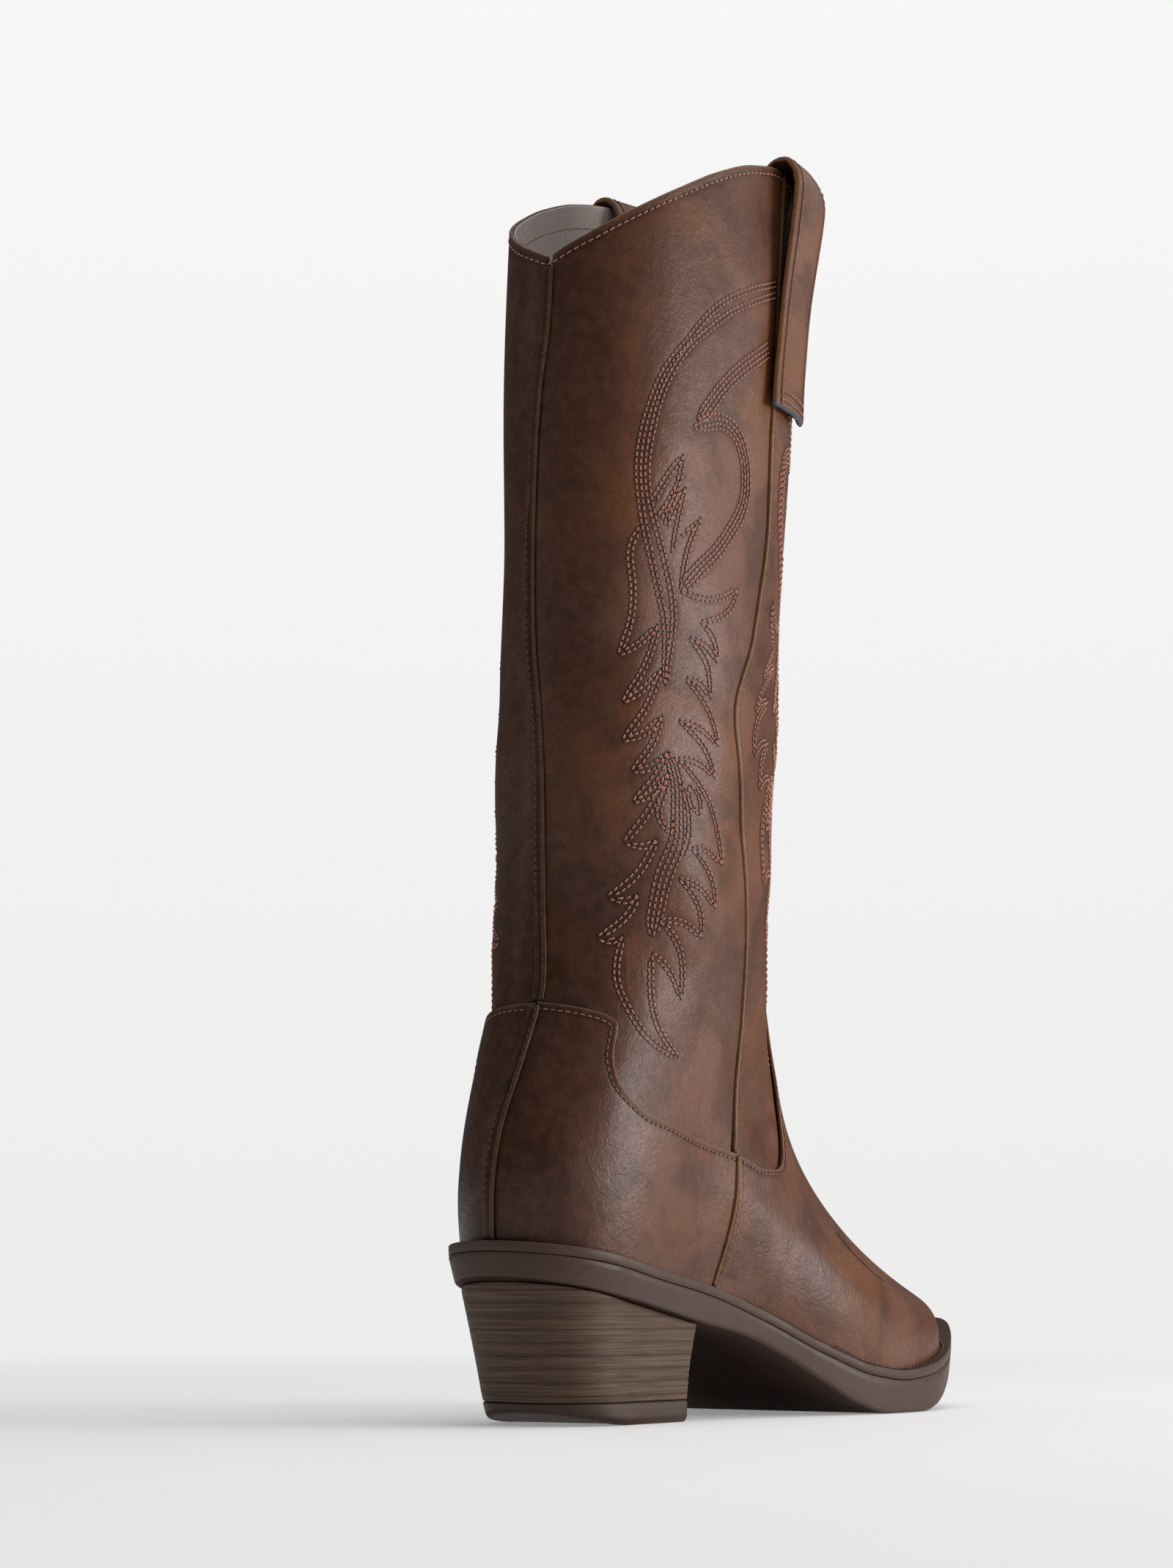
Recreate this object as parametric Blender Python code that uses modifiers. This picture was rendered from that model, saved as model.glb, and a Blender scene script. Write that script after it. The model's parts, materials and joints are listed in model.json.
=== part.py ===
"""Western pull-on boot (right foot), built piece by piece.

World axes: +Z up, toe toward -Y, outer (lateral) side toward -X, sole on Z = 0.
The form of the last is written in centimetres as (s, l, z): s forward from the
back of the sole, l toward the lateral side, z up.
"""
import math

import bmesh
import bpy
import numpy as np

CM = 0.01
MM = 0.1                      # one millimetre, in the centimetres used below
SOLE_LENGTH = 27.95
Y_OF_HEEL_BACK = 13.975       # world Y of the back of the sole, and
X_OF_MIDLINE = 1.005          # world X of its midline: the whole is centred on the origin

# ---- leather and lining thicknesses and the levels they lie at (cm) ----------
LEATHER = 1.3 * MM            # shaft panels, outer face on the form itself
OVERLAY = 1.1 * MM            # vamp and counters, lapped over the shaft panels
OVERLAY_LEVEL = 1.8 * MM
LINING = 0.7 * MM
LINING_LEVEL = -1.9 * MM
STIFFENER = 1.1 * MM
STIFFENER_LEVEL = -0.2 * MM
GAP = 0.3 * MM
SEAT_GAP = 0.9 * MM           # the upper stands this far above the top of the sole
SEAM_GAP = 0.0006             # half of a butt gap, as a share of the way round

# ---- seams, as shares of the way round (0 = back seam, 0.5 = front) ----------
SIDE_SEAM = 0.27
PIPING_HALF = 0.0030
STRIP_HALF = 0.0075
STRAP_CENTRE = 0.297
STRAP_HALF = 0.043
# where the seams really run on the form, as the leather has settled: (v, share)
BACK_SEAM_LINE = [(0, 0), (3.6, .006), (6, .014), (8, .018), (11, .012), (15, .003), (18, -.004),
                  (21, -.015), (24, -.018), (27, -.015), (29.2, -.007), (31, .004), (34, .009)]
SIDE_SEAM_LINE = [(0, .25), (2.5, .262), (5.2, .27), (9.6, .286), (12.5, .28), (15.3, .275),
                  (18.4, .259), (21.2, .284), (25.5, .312), (29, .307), (38, .31)]
# rows that the layers share, so curved layers stay parallel
FOOT_LINES = (0.6, 1.2, 1.8, 2.4, 3.0, 3.6, 4.2)
SHAFT_LINES = (9.5, 10.3, 11.1, 11.9, 12.7, 13.4, 14.1, 14.9, 15.9, 18, 20.5, 23.5, 26.5,
               29.5, 31.9)
THROAT_LINE = SHAFT_LINES.index(12.7)

# ---- heel ---------------------------------------------------------------------
TOP_LIFT = 0.75
HEEL_LENGTH_TOP = 7.65
HEEL_LENGTH_BOTTOM = 6.15
HEEL_SETBACK_TOP = 0.85
HEEL_SETBACK_BOTTOM = 2.1
HEEL_HALF_TOP = 2.82
HEEL_HALF_BOTTOM = 2.55
HEEL_ROCKER = 0.45            # the back of the top lift is worn up by this much
NAIL_RADIUS = 0.11
SCREW_RADIUS = 0.2
CLEARANCE = 0.035


# ---- smooth curves through a few points ---------------------------------------
def smooth(points, x):
    """Monotone cubic through (x, y) points: no overshoot between them."""
    px = np.array([p[0] for p in points], float)
    py = np.array([p[1] for p in points], float)
    step = np.diff(px)
    slope = np.diff(py) / step
    m = np.zeros(len(px))
    m[0], m[-1] = slope[0], slope[-1]
    for i in range(1, len(px) - 1):
        if slope[i - 1] * slope[i] > 0:
            w1, w2 = 2 * step[i] + step[i - 1], step[i] + 2 * step[i - 1]
            m[i] = (w1 + w2) / (w1 / slope[i - 1] + w2 / slope[i])
    x = np.clip(np.asarray(x, float), px[0], px[-1])
    k = np.clip(np.searchsorted(px, x, side="right") - 1, 0, len(px) - 2)
    h = step[k]
    t = (x - px[k]) / h
    return ((2 * t**3 - 3 * t**2 + 1) * py[k] + (t**3 - 2 * t**2 + t) * h * m[k]
            + (3 * t**2 - 2 * t**3) * py[k + 1] + (t**3 - t**2) * h * m[k + 1])


def spline_weights(x, xq, period=None):
    """Matrix taking values at x to a twice-smooth cubic spline at xq."""
    n = len(x)
    if period is not None:
        wide = spline_weights(np.concatenate([x - period, x, x + period]), xq)
        return wide[:, :n] + wide[:, n:2 * n] + wide[:, 2 * n:]
    h = np.diff(x)
    a, b = np.zeros((n, n)), np.zeros((n, n))
    a[0, 0] = a[-1, -1] = 1
    for i in range(1, n - 1):
        a[i, i - 1:i + 2] = h[i - 1], 2 * (h[i - 1] + h[i]), h[i]
        b[i, i - 1:i + 2] = 6 / h[i - 1], -6 / h[i - 1] - 6 / h[i], 6 / h[i]
    bend = np.linalg.solve(a, b)
    k = np.clip(np.searchsorted(x, xq, side="right") - 1, 0, n - 2)
    span = x[k + 1] - x[k]
    t = xq - x[k]
    r = span - t
    out = np.zeros((len(xq), n))
    rows = np.arange(len(xq))
    out[rows, k] += r / span
    out[rows, k + 1] += t / span
    out += (r**3 / (6 * span) - r * span / 6)[:, None] * bend[k]
    out += (t**3 / (6 * span) - t * span / 6)[:, None] * bend[k + 1]
    return out


# ---- the sole's side view -----------------------------------------------------
def sole_top(s):
    return smooth([(0, 6.0), (2.7, 5.62), (5.2, 5.12), (9, 4.48), (12, 3.65), (15, 2.48),
                   (17.4, 1.72), (19.4, 1.52), (21.5, 1.67), (24, 2.14), (26, 2.7),
                   (28.2, 3.45)], s)


def sole_bottom(s):
    return smooth([(0, 4.85), (8, 3.35), (11, 2.82), (13, 2.1), (15, 1.12), (16.6, 0.38),
                   (18.4, 0), (20.9, 0), (22.4, 0.19), (24.3, 0.78), (26.2, 1.5),
                   (28.2, 2.35)], s)


# ---- form of the last: rings from the feather line up -------------------------
# stations of a foot ring: back, back corner, heel side, waist, ball back, ball,
# toe side, toe corner, front; each (s, lateral half, medial half, z)
AROUND = np.array([0, .05, .12, .25, .32, .38, .43, .47, .5])
FEATHER = [(0.55, 0, 0, 5.9), (1.35, 1.7, 1.7, 5.8), (3.6, 2.8, 2.75, 5.4), (9.3, 2.75, 2.45, 4.4),
           (13.6, 3.5, 3.05, 3.05), (17.6, 4.2, 3.75, 1.7), (21.8, 3.95, 3.85, 1.7),
           (24.9, 2.7, 2.75, 2.4), (26.1, 0.25, -0.25, 2.75)]
LOW = [(0.35, 0, 0, 8.2), (1.2, 1.85, 1.8, 8.15), (3.7, 3.05, 2.85, 7.75), (9.2, 3.05, 2.8, 6.6),
       (13.5, 3.7, 3.45, 5.3), (17.5, 4.2, 4.05, 3.8), (21.7, 3.85, 3.9, 3.35),
       (24.7, 2.6, 2.65, 3.55), (25.8, 0.25, -0.25, 3.9)]
MIDDLE = [(0.95, 0, 0, 11), (1.75, 1.85, 1.7, 10.9), (4.05, 3.1, 2.85, 10.5), (9.1, 3.2, 3.05, 9.3),
          (13, 3.3, 3.3, 8), (16.7, 3.3, 3.45, 6.3), (20.6, 2.75, 2.95, 5.05),
          (23.4, 1.65, 1.75, 4.75), (24.6, 0.15, -0.15, 4.7)]
INSTEP = [(1.95, 0, 0, 14), (2.65, 1.85, 1.65, 13.9), (4.8, 3.2, 2.9, 13.6), (8.9, 3.5, 3.3, 12.6),
          (11.9, 3.1, 3.15, 11.3), (14.6, 2.45, 2.7, 9.9), (17, 1.5, 1.8, 8.7),
          (18.6, 0.7, 0.9, 7.85), (19.3, 0.1, -0.1, 7.15)]
THROAT = [(2.3, 0.1, -0.1, 17), (3, 1.95, 1.65, 17), (4.95, 3.5, 3, 16.9), (8.8, 4.05, 3.4, 16.6),
          (11.3, 3.6, 3.15, 16), (13.1, 2.75, 2.6, 15.2), (14.2, 1.8, 1.7, 14.3),
          (14.9, 0.9, 0.75, 13.4), (15.2, 0.2, -0.1, 12.4)]
# shaft rings: height, centre forward, centre lateral, half length, half width
SHAFT = [(20.5, 7.95, 0.65, 5.9, 3.9), (25, 7.75, 0.95, 6.1, 3.85), (30, 7.6, 1.3, 6.3, 3.8),
         (35, 7.55, 1.6, 6.55, 3.8), (40, 7.55, 1.85, 6.8, 3.8), (46, 7.55, 2.15, 7, 3.8)]
SHAFT_SQUARENESS = 2.3
# v runs up the boot, about one per centimetre; these are the rings' values of v
RING_V = np.array([0, 2.4, 5.2, 8.2, 11.4, 14.9, 19.4, 24.4, 29.4, 34.4, 40.4])
ALL_AROUND = np.concatenate([AROUND, 1 - AROUND[-2:0:-1]])


def foot_ring(rows):
    lateral = [(s, a, z) for s, a, m, z in rows]
    medial = [(s, -m, z) for s, a, m, z in rows]
    return lateral + medial[-2:0:-1]


def shaft_ring(height, forward, side, half_length, half_width):
    angle = 2 * math.pi * ALL_AROUND
    c, d = -np.cos(angle), np.sin(angle)
    r = (abs(c)**SHAFT_SQUARENESS + abs(d)**SHAFT_SQUARENESS)**(-1 / SHAFT_SQUARENESS)
    return np.stack([forward + half_length * c * r, side + half_width * d * r,
                     np.full_like(c, height)], axis=1)


RINGS = np.array([foot_ring(r) for r in (FEATHER, LOW, MIDDLE, INSTEP, THROAT)]
                 + [shaft_ring(*r) for r in SHAFT])


def form(u, v):
    """Point of the form for arrays u (share of the way round) and v (height)."""
    flat_u, flat_v = np.ravel(u), np.ravel(v)
    around = spline_weights(ALL_AROUND, np.mod(flat_u, 1.0), 1.0)
    up = spline_weights(RING_V, flat_v)
    p = np.einsum("na,abk,nb->nk", up, RINGS, around)
    # the lowest part settles exactly on the sole's top
    foot = np.einsum("bk,nb->nk", RINGS[0], around)
    settle = np.clip(1 - flat_v / 2.4, 0, 1)**2
    p[:, 2] += settle * (sole_top(foot[:, 0]) + SEAT_GAP - foot[:, 2])
    return p.reshape(np.shape(u) + (3,))


def settled(u, v):
    """Share of the way round, moved so that the seams follow their own lines."""
    u = np.mod(np.asarray(u, float), 1.0)
    back, side = smooth(BACK_SEAM_LINE, v), smooth(SIDE_SEAM_LINE, v)
    from_back, from_side = u / SIDE_SEAM, (u - SIDE_SEAM) / (0.5 - SIDE_SEAM)
    lateral = np.where(u < SIDE_SEAM, back + (side - back) * from_back,
                       side + (0.5 - side) * from_side)
    to_side, to_back = (u - 0.5) / (0.5 - SIDE_SEAM), (u - 1 + SIDE_SEAM) / SIDE_SEAM
    medial = np.where(u < 1 - SIDE_SEAM, 0.5 + (0.5 - side) * to_side,
                      1 - side + (side + back) * to_back)
    return np.where(u < 0.5, lateral, medial)


def to_world(p):
    p = np.asarray(p, float)
    return np.stack([X_OF_MIDLINE - p[..., 1], Y_OF_HEEL_BACK - p[..., 0], p[..., 2]],
                    axis=-1) * CM


def skin(u, v, level):
    """World point at a level (cm) outside the form."""
    e = 1e-3
    u = settled(u, v)
    p = to_world(form(u, v))
    along = to_world(form(u + e, v)) - to_world(form(u - e, v))
    up = to_world(form(u, v + 10 * e)) - to_world(form(u, v - 10 * e))
    n = np.cross(along, up)
    n /= np.linalg.norm(n, axis=-1, keepdims=True)
    return p + n * (np.asarray(level)[..., None] * CM)


# ---- edges of the leather pieces, v against u ---------------------------------
def fold(u):
    """Share of the way from the back seam to the front, on either side."""
    u = np.mod(np.asarray(u, float), 1.0)
    return np.minimum(u, 1 - u)


def top_line(u):
    return smooth([(0, 33.4), (.05, 34.1), (.09, 34.9), (.145, 36.2), (.18, 37.1), (.22, 37.9),
                   (.262, 38.3), (.32, 37.7), (.38, 36.2), (.44, 34.8), (.5, 34.2)], fold(u))


def counter_top(u):
    return smooth([(0, 8), (.045, 7.9), (.0725, 7.6), (.0765, 6.5), (.1, 5.45), (.142, 5.0),
                   (.213, 5.0), (.27, 5.2)], fold(u))


def vamp_top(u):
    return smooth([(.27, 5.2), (.29, 5.2), (.31, 5.55), (.33, 6.3), (.345, 7.6), (.36, 9),
                   (.39, 10.6), (.43, 11.8), (.5, 13)], fold(u))


def constant(value):
    return lambda u: np.full_like(np.asarray(u, float), value)


# ---- building helpers ---------------------------------------------------------
def new_collection(name):
    collection = bpy.data.collections.new(name)
    bpy.context.scene.collection.children.link(collection)
    return collection


def material(name, colour, roughness, metallic=0.0):
    made = bpy.data.materials.new(name)
    made.use_nodes = True
    shader = made.node_tree.nodes["Principled BSDF"]
    shader.inputs["Base Color"].default_value = (*colour, 1)
    shader.inputs["Roughness"].default_value = roughness
    shader.inputs["Metallic"].default_value = metallic
    return made


def add_object(name, points, faces, look, smooth_faces=False, solid=True):
    mesh = bpy.data.meshes.new(name)
    mesh.from_pydata([tuple(p) for p in points], [], faces)
    if solid:
        shape = bmesh.new()
        shape.from_mesh(mesh)
        bmesh.ops.recalc_face_normals(shape, faces=shape.faces)
        shape.to_mesh(mesh)
        shape.free()
    mesh.materials.append(look)
    for polygon in mesh.polygons:
        polygon.use_smooth = smooth_faces
    made = bpy.data.objects.new(name, mesh)
    BOOT.objects.link(made)
    return made


def add_thickness(piece, thickness):
    wall = piece.modifiers.new("Thickness", "SOLIDIFY")
    wall.thickness = thickness * CM
    wall.offset = -1
    wall.use_even_offset = False
    return piece


def sheet(name, grid, thickness, look, closed=False):
    """Open sheet through a grid of points, thickened inward with Solidify."""
    rows, columns = grid.shape[:2]
    faces = []
    for i in range(rows - 1):
        for j in range(columns if closed else columns - 1):
            k = (j + 1) % columns
            faces.append((i * columns + j, i * columns + k,
                          (i + 1) * columns + k, (i + 1) * columns + j))
    piece = add_object(name, grid.reshape(-1, 3), faces, look, True, solid=False)
    return add_thickness(piece, thickness)


def lines_around(start, end, margin=SEAM_GAP):
    """Shared lines round the boot between two seams, so layers stay parallel."""
    half = np.concatenate([np.linspace(0, SIDE_SEAM, 10), np.linspace(SIDE_SEAM, .4, 6)[1:],
                           np.linspace(.4, .5, 8)[1:]])
    every = np.concatenate([-half[:0:-1], half, 1 - half[-2:0:-1]])
    if not margin:
        return every[(every > start - 1e-4) & (every < end + 1e-4)]
    # a narrow first and last strip keeps the wall square to the form at a seam
    inside = every[(every > start + 0.008) & (every < end - 0.008)]
    near = 0.004 if len(inside) else 0
    edges = [start + margin, start + margin + near], [end - margin - near, end - margin]
    return np.unique(np.concatenate([edges[0], inside, edges[1]]))


def rows_up(u, low, high, below, lines, over):
    """Heights of the rows: steps up to the shared lines, the lines, steps above."""
    bottom, top = low(u)[None, :], high(u)[None, :]
    first, last = np.full_like(bottom, lines[0]), np.full_like(bottom, lines[-1])
    lower = np.linspace(0, 1, below + 1)[:-1, None]
    upper = np.linspace(0, 1, over + 1)[1:, None]
    return np.vstack([bottom * (1 - lower) + first * lower]
                     + [np.full_like(bottom, line) for line in lines]
                     + [last * (1 - upper) + top * upper])


def panel(name, ends, edges, rows, level, thickness, look):
    """Leather piece of the upper between two seams and two edges."""
    u = lines_around(*ends)
    v = rows_up(u, edges[0], edges[1], *rows)
    u = np.broadcast_to(u, v.shape)
    return sheet(name, skin(u, v, np.full_like(v, level)), thickness, look)


def band(name, edges, rows, level, thickness, look):
    """Piece that runs the whole way round the boot."""
    u = lines_around(0, 1, 0)[:-1]
    v = rows_up(u, edges[0], edges[1], *rows)
    u = np.broadcast_to(u, v.shape)
    return sheet(name, skin(u, v, np.full_like(v, level)), thickness, look, closed=True)


def loft(name, sections, look, closed=False):
    """Solid through equal-sized sections; the ends are capped unless closed."""
    count = len(sections[0])
    points = [p for section in sections for p in section]
    faces = []
    for i in range(len(sections) if closed else len(sections) - 1):
        a, b = i * count, ((i + 1) % len(sections)) * count
        for j in range(count):
            k = (j + 1) % count
            faces.append((a + j, a + k, b + k, b + j))
    if not closed:
        faces.append(tuple(reversed(range(count))))
        faces.append(tuple(range(len(points) - count, len(points))))
    return add_object(name, points, faces, look)


# ---- outline of the sole ------------------------------------------------------
RIM = [(0.35, 1.4, 1.35), (1.4, 2.55, 2.5), (3.6, 3.25, 3.15), (6.8, 3.3, 3.1),
       (9.5, 3.2, 2.85), (12, 3.35, 2.85), (14.6, 3.9, 3.3), (17.4, 4.55, 4.05),
       (19.6, 4.72, 4.5), (22.4, 4.4, 4.45), (25, 3.45, 3.6), (26.8, 2.45, 2.55),
       (27.8, 1.5, 1.5)]
RIM_KNOTS = np.array([(0, 0)] + [(s, a) for s, a, m in RIM] + [(SOLE_LENGTH, 0)]
                     + [(s, -m) for s, a, m in reversed(RIM)])


def moved_in(knots, inset, count):
    """Points round a closed loop, moved in by an inset."""
    ends = np.vstack([knots, knots[:1]])
    run = np.concatenate([[0], np.cumsum(np.linalg.norm(np.diff(ends, axis=0), axis=1))])
    t = np.arange(count) / count * run[-1]
    e = 0.02
    p = spline_weights(run[:-1], t, run[-1]) @ knots
    q = spline_weights(run[:-1], np.mod(t + e, run[-1]), run[-1]) @ knots
    along = (q - p) / np.linalg.norm(q - p, axis=1, keepdims=True)
    inward = np.stack([along[:, 1], -along[:, 0]], axis=1)
    return p + inward * inset


def outline(inset, count):
    """Rim of the sole from the heel back, lateral side first."""
    return moved_in(RIM_KNOTS, inset, count)


def foot_outline(inset, count):
    """The form's own outline where it meets the sole."""
    u = np.linspace(0, 1, 61)[:-1]
    return moved_in(form(u, np.zeros(60))[:, :2], inset, count)


def halves(loop, start, end, count):
    """Lateral and medial edge of a loop at stations from back to toe."""
    half = len(loop) // 2
    lateral, medial = loop[:half + 1], np.vstack([loop[:1], loop[:half - 1:-1]])
    share = (1 - np.cos(np.linspace(0, math.pi, count))) / 2
    first = max(start, loop[:, 0].min() + 0.02)
    last = min(end, loop[:, 0].max() - 0.02)
    s = first + (last - first) * (0.5 * share + 0.5 * np.linspace(0, 1, count))
    order_a, order_m = np.argsort(lateral[:, 0]), np.argsort(medial[:, 0])
    a = np.interp(s, lateral[order_a, 0], lateral[order_a, 1])
    m = np.interp(s, medial[order_m, 0], medial[order_m, 1])
    return s, a, m


def plate(name, loop, top, bottom, look, start=-1.0, end=40.0, count=34):
    """Layer of the bottom: fills a loop, between two side-view curves."""
    s, a, m = halves(loop, start, end, count)
    sections = []
    for si, ai, mi in zip(s, a, m):
        hi, lo = float(top(si)), float(bottom(si))
        across = [ai, ai * 0.5 + mi * 0.5, mi]
        sections.append([to_world((si, x, hi)) for x in across]
                        + [to_world((si, x, lo)) for x in reversed(across)])
    return loft(name, sections, look)


def ring_plate(name, outer, inner, top, bottom, look, count=76):
    """Layer like a plate with its middle left out."""
    out_line, in_line = outline(outer, count), outline(inner, count)
    sections = []
    for (s, a), (si, ai) in zip(out_line, in_line):
        sections.append([to_world(p) for p in (
            (s, a, float(top(s))), (s, a, float(bottom(s))),
            (si, ai, float(bottom(si))), (si, ai, float(top(si))))])
    return loft(name, sections, look, closed=True)


def above(curve, by):
    return lambda s: curve(s) + by


# ---- heel ---------------------------------------------------------------------
def heel_section(share, height):
    """D-shaped heel outline, 0 at the seat and 1 at the ground."""
    back = HEEL_SETBACK_TOP + (HEEL_SETBACK_BOTTOM - HEEL_SETBACK_TOP) * share
    length = HEEL_LENGTH_TOP + (HEEL_LENGTH_BOTTOM - HEEL_LENGTH_TOP) * share
    half = HEEL_HALF_TOP + (HEEL_HALF_BOTTOM - HEEL_HALF_TOP) * share
    half -= 0.1 * math.sin(math.pi * share)
    points = []
    for i in range(21):
        angle = math.pi * (i / 20)
        c, d = math.cos(angle), math.sin(angle)
        r = (abs(c)**2.35 + abs(d)**2.35)**(-1 / 2.35)
        points.append((back + half * (1 - d * r), half * c * r))
    breast = back + length
    bow = 0.3
    points.append((breast - 0.15, -half))
    for i in (-0.6, 0, 0.6):
        points.append((breast - bow * (1 - i * i), half * i))
    points.append((breast - 0.15, half))
    return [to_world((s, l, height(s))) for s, l in points]


def heel_share(z):
    return (4.6 - z) / 4.6


def heel_block(look):
    seat = above(sole_bottom, -GAP)
    sections = [heel_section(0, lambda s: float(seat(s)))]
    for part in (0.3, 0.6):
        sections.append(heel_section(part * heel_share(TOP_LIFT), lambda s, p=part:
                                     float(seat(s)) * (1 - p) + TOP_LIFT * p))
    sections.append(heel_section(heel_share(TOP_LIFT), lambda s: TOP_LIFT))
    return loft("heel_block", sections, look)


def top_lift(look):
    flat_from = HEEL_SETBACK_BOTTOM + HEEL_HALF_BOTTOM

    def ground(s):
        return HEEL_ROCKER * max(0.0, (flat_from - s) / (flat_from - HEEL_SETBACK_BOTTOM))**1.6

    upper = heel_section(heel_share(TOP_LIFT), lambda s: TOP_LIFT - GAP)
    lower = heel_section(1, ground)
    # strips across the heel let the underside curve up toward the back
    strips = []
    for ring in (upper, lower):
        back = ring[10]
        halves = list(zip(reversed(ring[:10]), ring[11:21]))
        strips.append([(back, back)] + halves + [(ring[25], ring[21]), (ring[24], ring[22])])
    points, index = [], {}
    faces = []

    def vertex(p):
        key = tuple(round(c, 9) for c in p)
        if key not in index:
            index[key] = len(points)
            points.append(tuple(p))
        return index[key]

    for level, (rows, ring) in enumerate(zip(strips, (upper, lower))):
        for (a, b), (c, d) in zip(rows, rows[1:]):
            face = [vertex(a), vertex(c), vertex(d), vertex(b)]
            face = list(dict.fromkeys(face))
            faces.append(tuple(face if level == 0 else reversed(face)))
        last = [vertex(ring[24]), vertex(ring[23]), vertex(ring[22])]
        faces.append(tuple(last if level == 0 else reversed(last)))
    count = len(upper)
    for j in range(count):
        k = (j + 1) % count
        faces.append((vertex(upper[j]), vertex(upper[k]), vertex(lower[k]), vertex(lower[j])))
    return add_object("top_lift", points, faces, look)


def rod(name, s, l, low, high, radius, look, head=0.0, head_height=0.0):
    """Upright round bar; with a head when one is asked for."""
    steps = [(radius * 0.4, low), (radius, low + 0.25), (radius, high - head_height)]
    if head:
        steps += [(head, high - head_height), (head, high)]
    else:
        steps = [(radius, low), (radius, high)]
    sections = []
    for r, z in steps:
        sections.append([to_world((s + r * math.cos(a), l + r * math.sin(a), z))
                         for a in np.linspace(0, 2 * math.pi, 13)[:-1]])
    return loft(name, sections, look)


def make_cutter(piece):
    """Move a piece to the cutters, out of sight."""
    BOOT.objects.unlink(piece)
    CUTTERS.objects.link(piece)
    piece.hide_render = True
    piece.display_type = "WIRE"
    return piece


def cut(piece, cutter):
    """Subtract a cutter from a piece."""
    hole = piece.modifiers.new("Hole", "BOOLEAN")
    hole.operation = "DIFFERENCE"
    hole.solver = "EXACT"
    hole.object = cutter


# ---- pull straps --------------------------------------------------------------
# the strap's path: (level above the form, v), from the sewn end outside, over
# the top line, to the sewn end inside
STRAP_PATH = [(.42, 29.6), (.4, 30.6), (.44, 32), (.56, 34), (.74, 35.7), (.86, 37.1),
              (.8, 38.1), (.42, 38.64), (-.2, 38.6), (-.66, 38), (-.8, 36.7), (-.7, 34.9),
              (-.57, 33.6), (-.57, 32.6)]
STRAP_THICKNESS = 2.2 * MM


def pull_strap(name, centre, look):
    knots = np.array(STRAP_PATH)
    run = np.concatenate([[0], np.cumsum(np.linalg.norm(np.diff(knots, axis=0), axis=1))])
    t = np.linspace(0, run[-1], 26)
    path = spline_weights(run, t) @ knots
    u = centre + np.linspace(-STRAP_HALF, STRAP_HALF, 4)
    uu, level = np.meshgrid(u, path[:, 0])
    _, vv = np.meshgrid(u, path[:, 1])
    return sheet(name, skin(uu, vv, level), STRAP_THICKNESS, look)


def build_upper(looks):
    leather, overlay, trim = looks["leather"], looks["overlay"], looks["trim"]
    back, front = SIDE_SEAM - PIPING_HALF, SIDE_SEAM + PIPING_HALF
    lap = 1.0
    foot, shaft, strip = (1, FOOT_LINES, 3), (4, SHAFT_LINES, 3), OVERLAY_LEVEL + 1.2 * MM
    panel("vamp", (SIDE_SEAM, 1 - SIDE_SEAM), (constant(0), vamp_top), (1, FOOT_LINES, 8),
          OVERLAY_LEVEL, OVERLAY, overlay)
    panel("counter_lateral", (0, SIDE_SEAM), (constant(0), counter_top), foot,
          OVERLAY_LEVEL, OVERLAY, overlay)
    panel("counter_medial", (-SIDE_SEAM, 0), (constant(0), counter_top), foot,
          OVERLAY_LEVEL, OVERLAY, overlay)
    panel("counter_back_strip", (-STRIP_HALF, STRIP_HALF), (constant(0.15), constant(7.8)),
          foot, strip, 0.8 * MM, trim)
    under_counter = (lambda u: counter_top(u) - lap, top_line)
    panel("shaft_back_lateral", (0, back), under_counter, shaft, 0, LEATHER, leather)
    panel("shaft_back_medial", (-back, 0), under_counter, shaft, 0, LEATHER, leather)
    panel("shaft_front", (front, 1 - front), (lambda u: vamp_top(u) - lap, top_line),
          (10, SHAFT_LINES[THROAT_LINE:], 3), 0, LEATHER, leather)
    panel("shaft_back_strip", (-STRIP_HALF, STRIP_HALF), (constant(8.35), constant(32.9)),
          (1, SHAFT_LINES, 1), 1.2 * MM, 0.8 * MM, trim)
    for side, centre in (("lateral", SIDE_SEAM), ("medial", -SIDE_SEAM)):
        panel("side_piping_" + side, (centre - PIPING_HALF, centre + PIPING_HALF),
              (constant(5.5), constant(37.8)), (3, SHAFT_LINES, 4), 0.9 * MM, 2.0 * MM, trim)


def build_inside(looks):
    lining, board = looks["lining"], looks["board"]
    u = lines_around(0, 1, 0)[:-1]
    rim = [top_line(u) - 0.95, top_line(u) - 0.05]
    grid = skin(np.stack([u, u]), np.stack(rim), np.full((2, len(u)), LINING_LEVEL))
    sheet("topline_facing", grid, LINING, looks["trim"], closed=True)
    band("shaft_lining", (constant(8.6), lambda u: top_line(u) - 1.0), (1, SHAFT_LINES, 3),
         LINING_LEVEL, LINING, lining)
    foot = (constant(0.25), constant(8.5))
    panel("quarter_lining", (-SIDE_SEAM, SIDE_SEAM), foot, (1, FOOT_LINES, 4),
          LINING_LEVEL, LINING, lining)
    panel("vamp_lining", (SIDE_SEAM, 1 - SIDE_SEAM), foot, (1, FOOT_LINES, 8),
          LINING_LEVEL, LINING, lining)
    panel("counter_stiffener", (-.18, .18), (constant(0.25), lambda u:
          np.minimum(counter_top(u) - 1.3, 6 - 12 * fold(u))), (1, FOOT_LINES[:5], 3),
          STIFFENER_LEVEL, STIFFENER, board)
    panel("toe_puff", (.40, .60), (constant(0.25), lambda u: 4.6 - 12 * (.5 - fold(u))),
          (1, FOOT_LINES[:5], 2), STIFFENER_LEVEL, STIFFENER, board)
    pull_strap("pull_strap_lateral", STRAP_CENTRE, looks["overlay"])
    pull_strap("pull_strap_medial", -STRAP_CENTRE, looks["overlay"])


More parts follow.
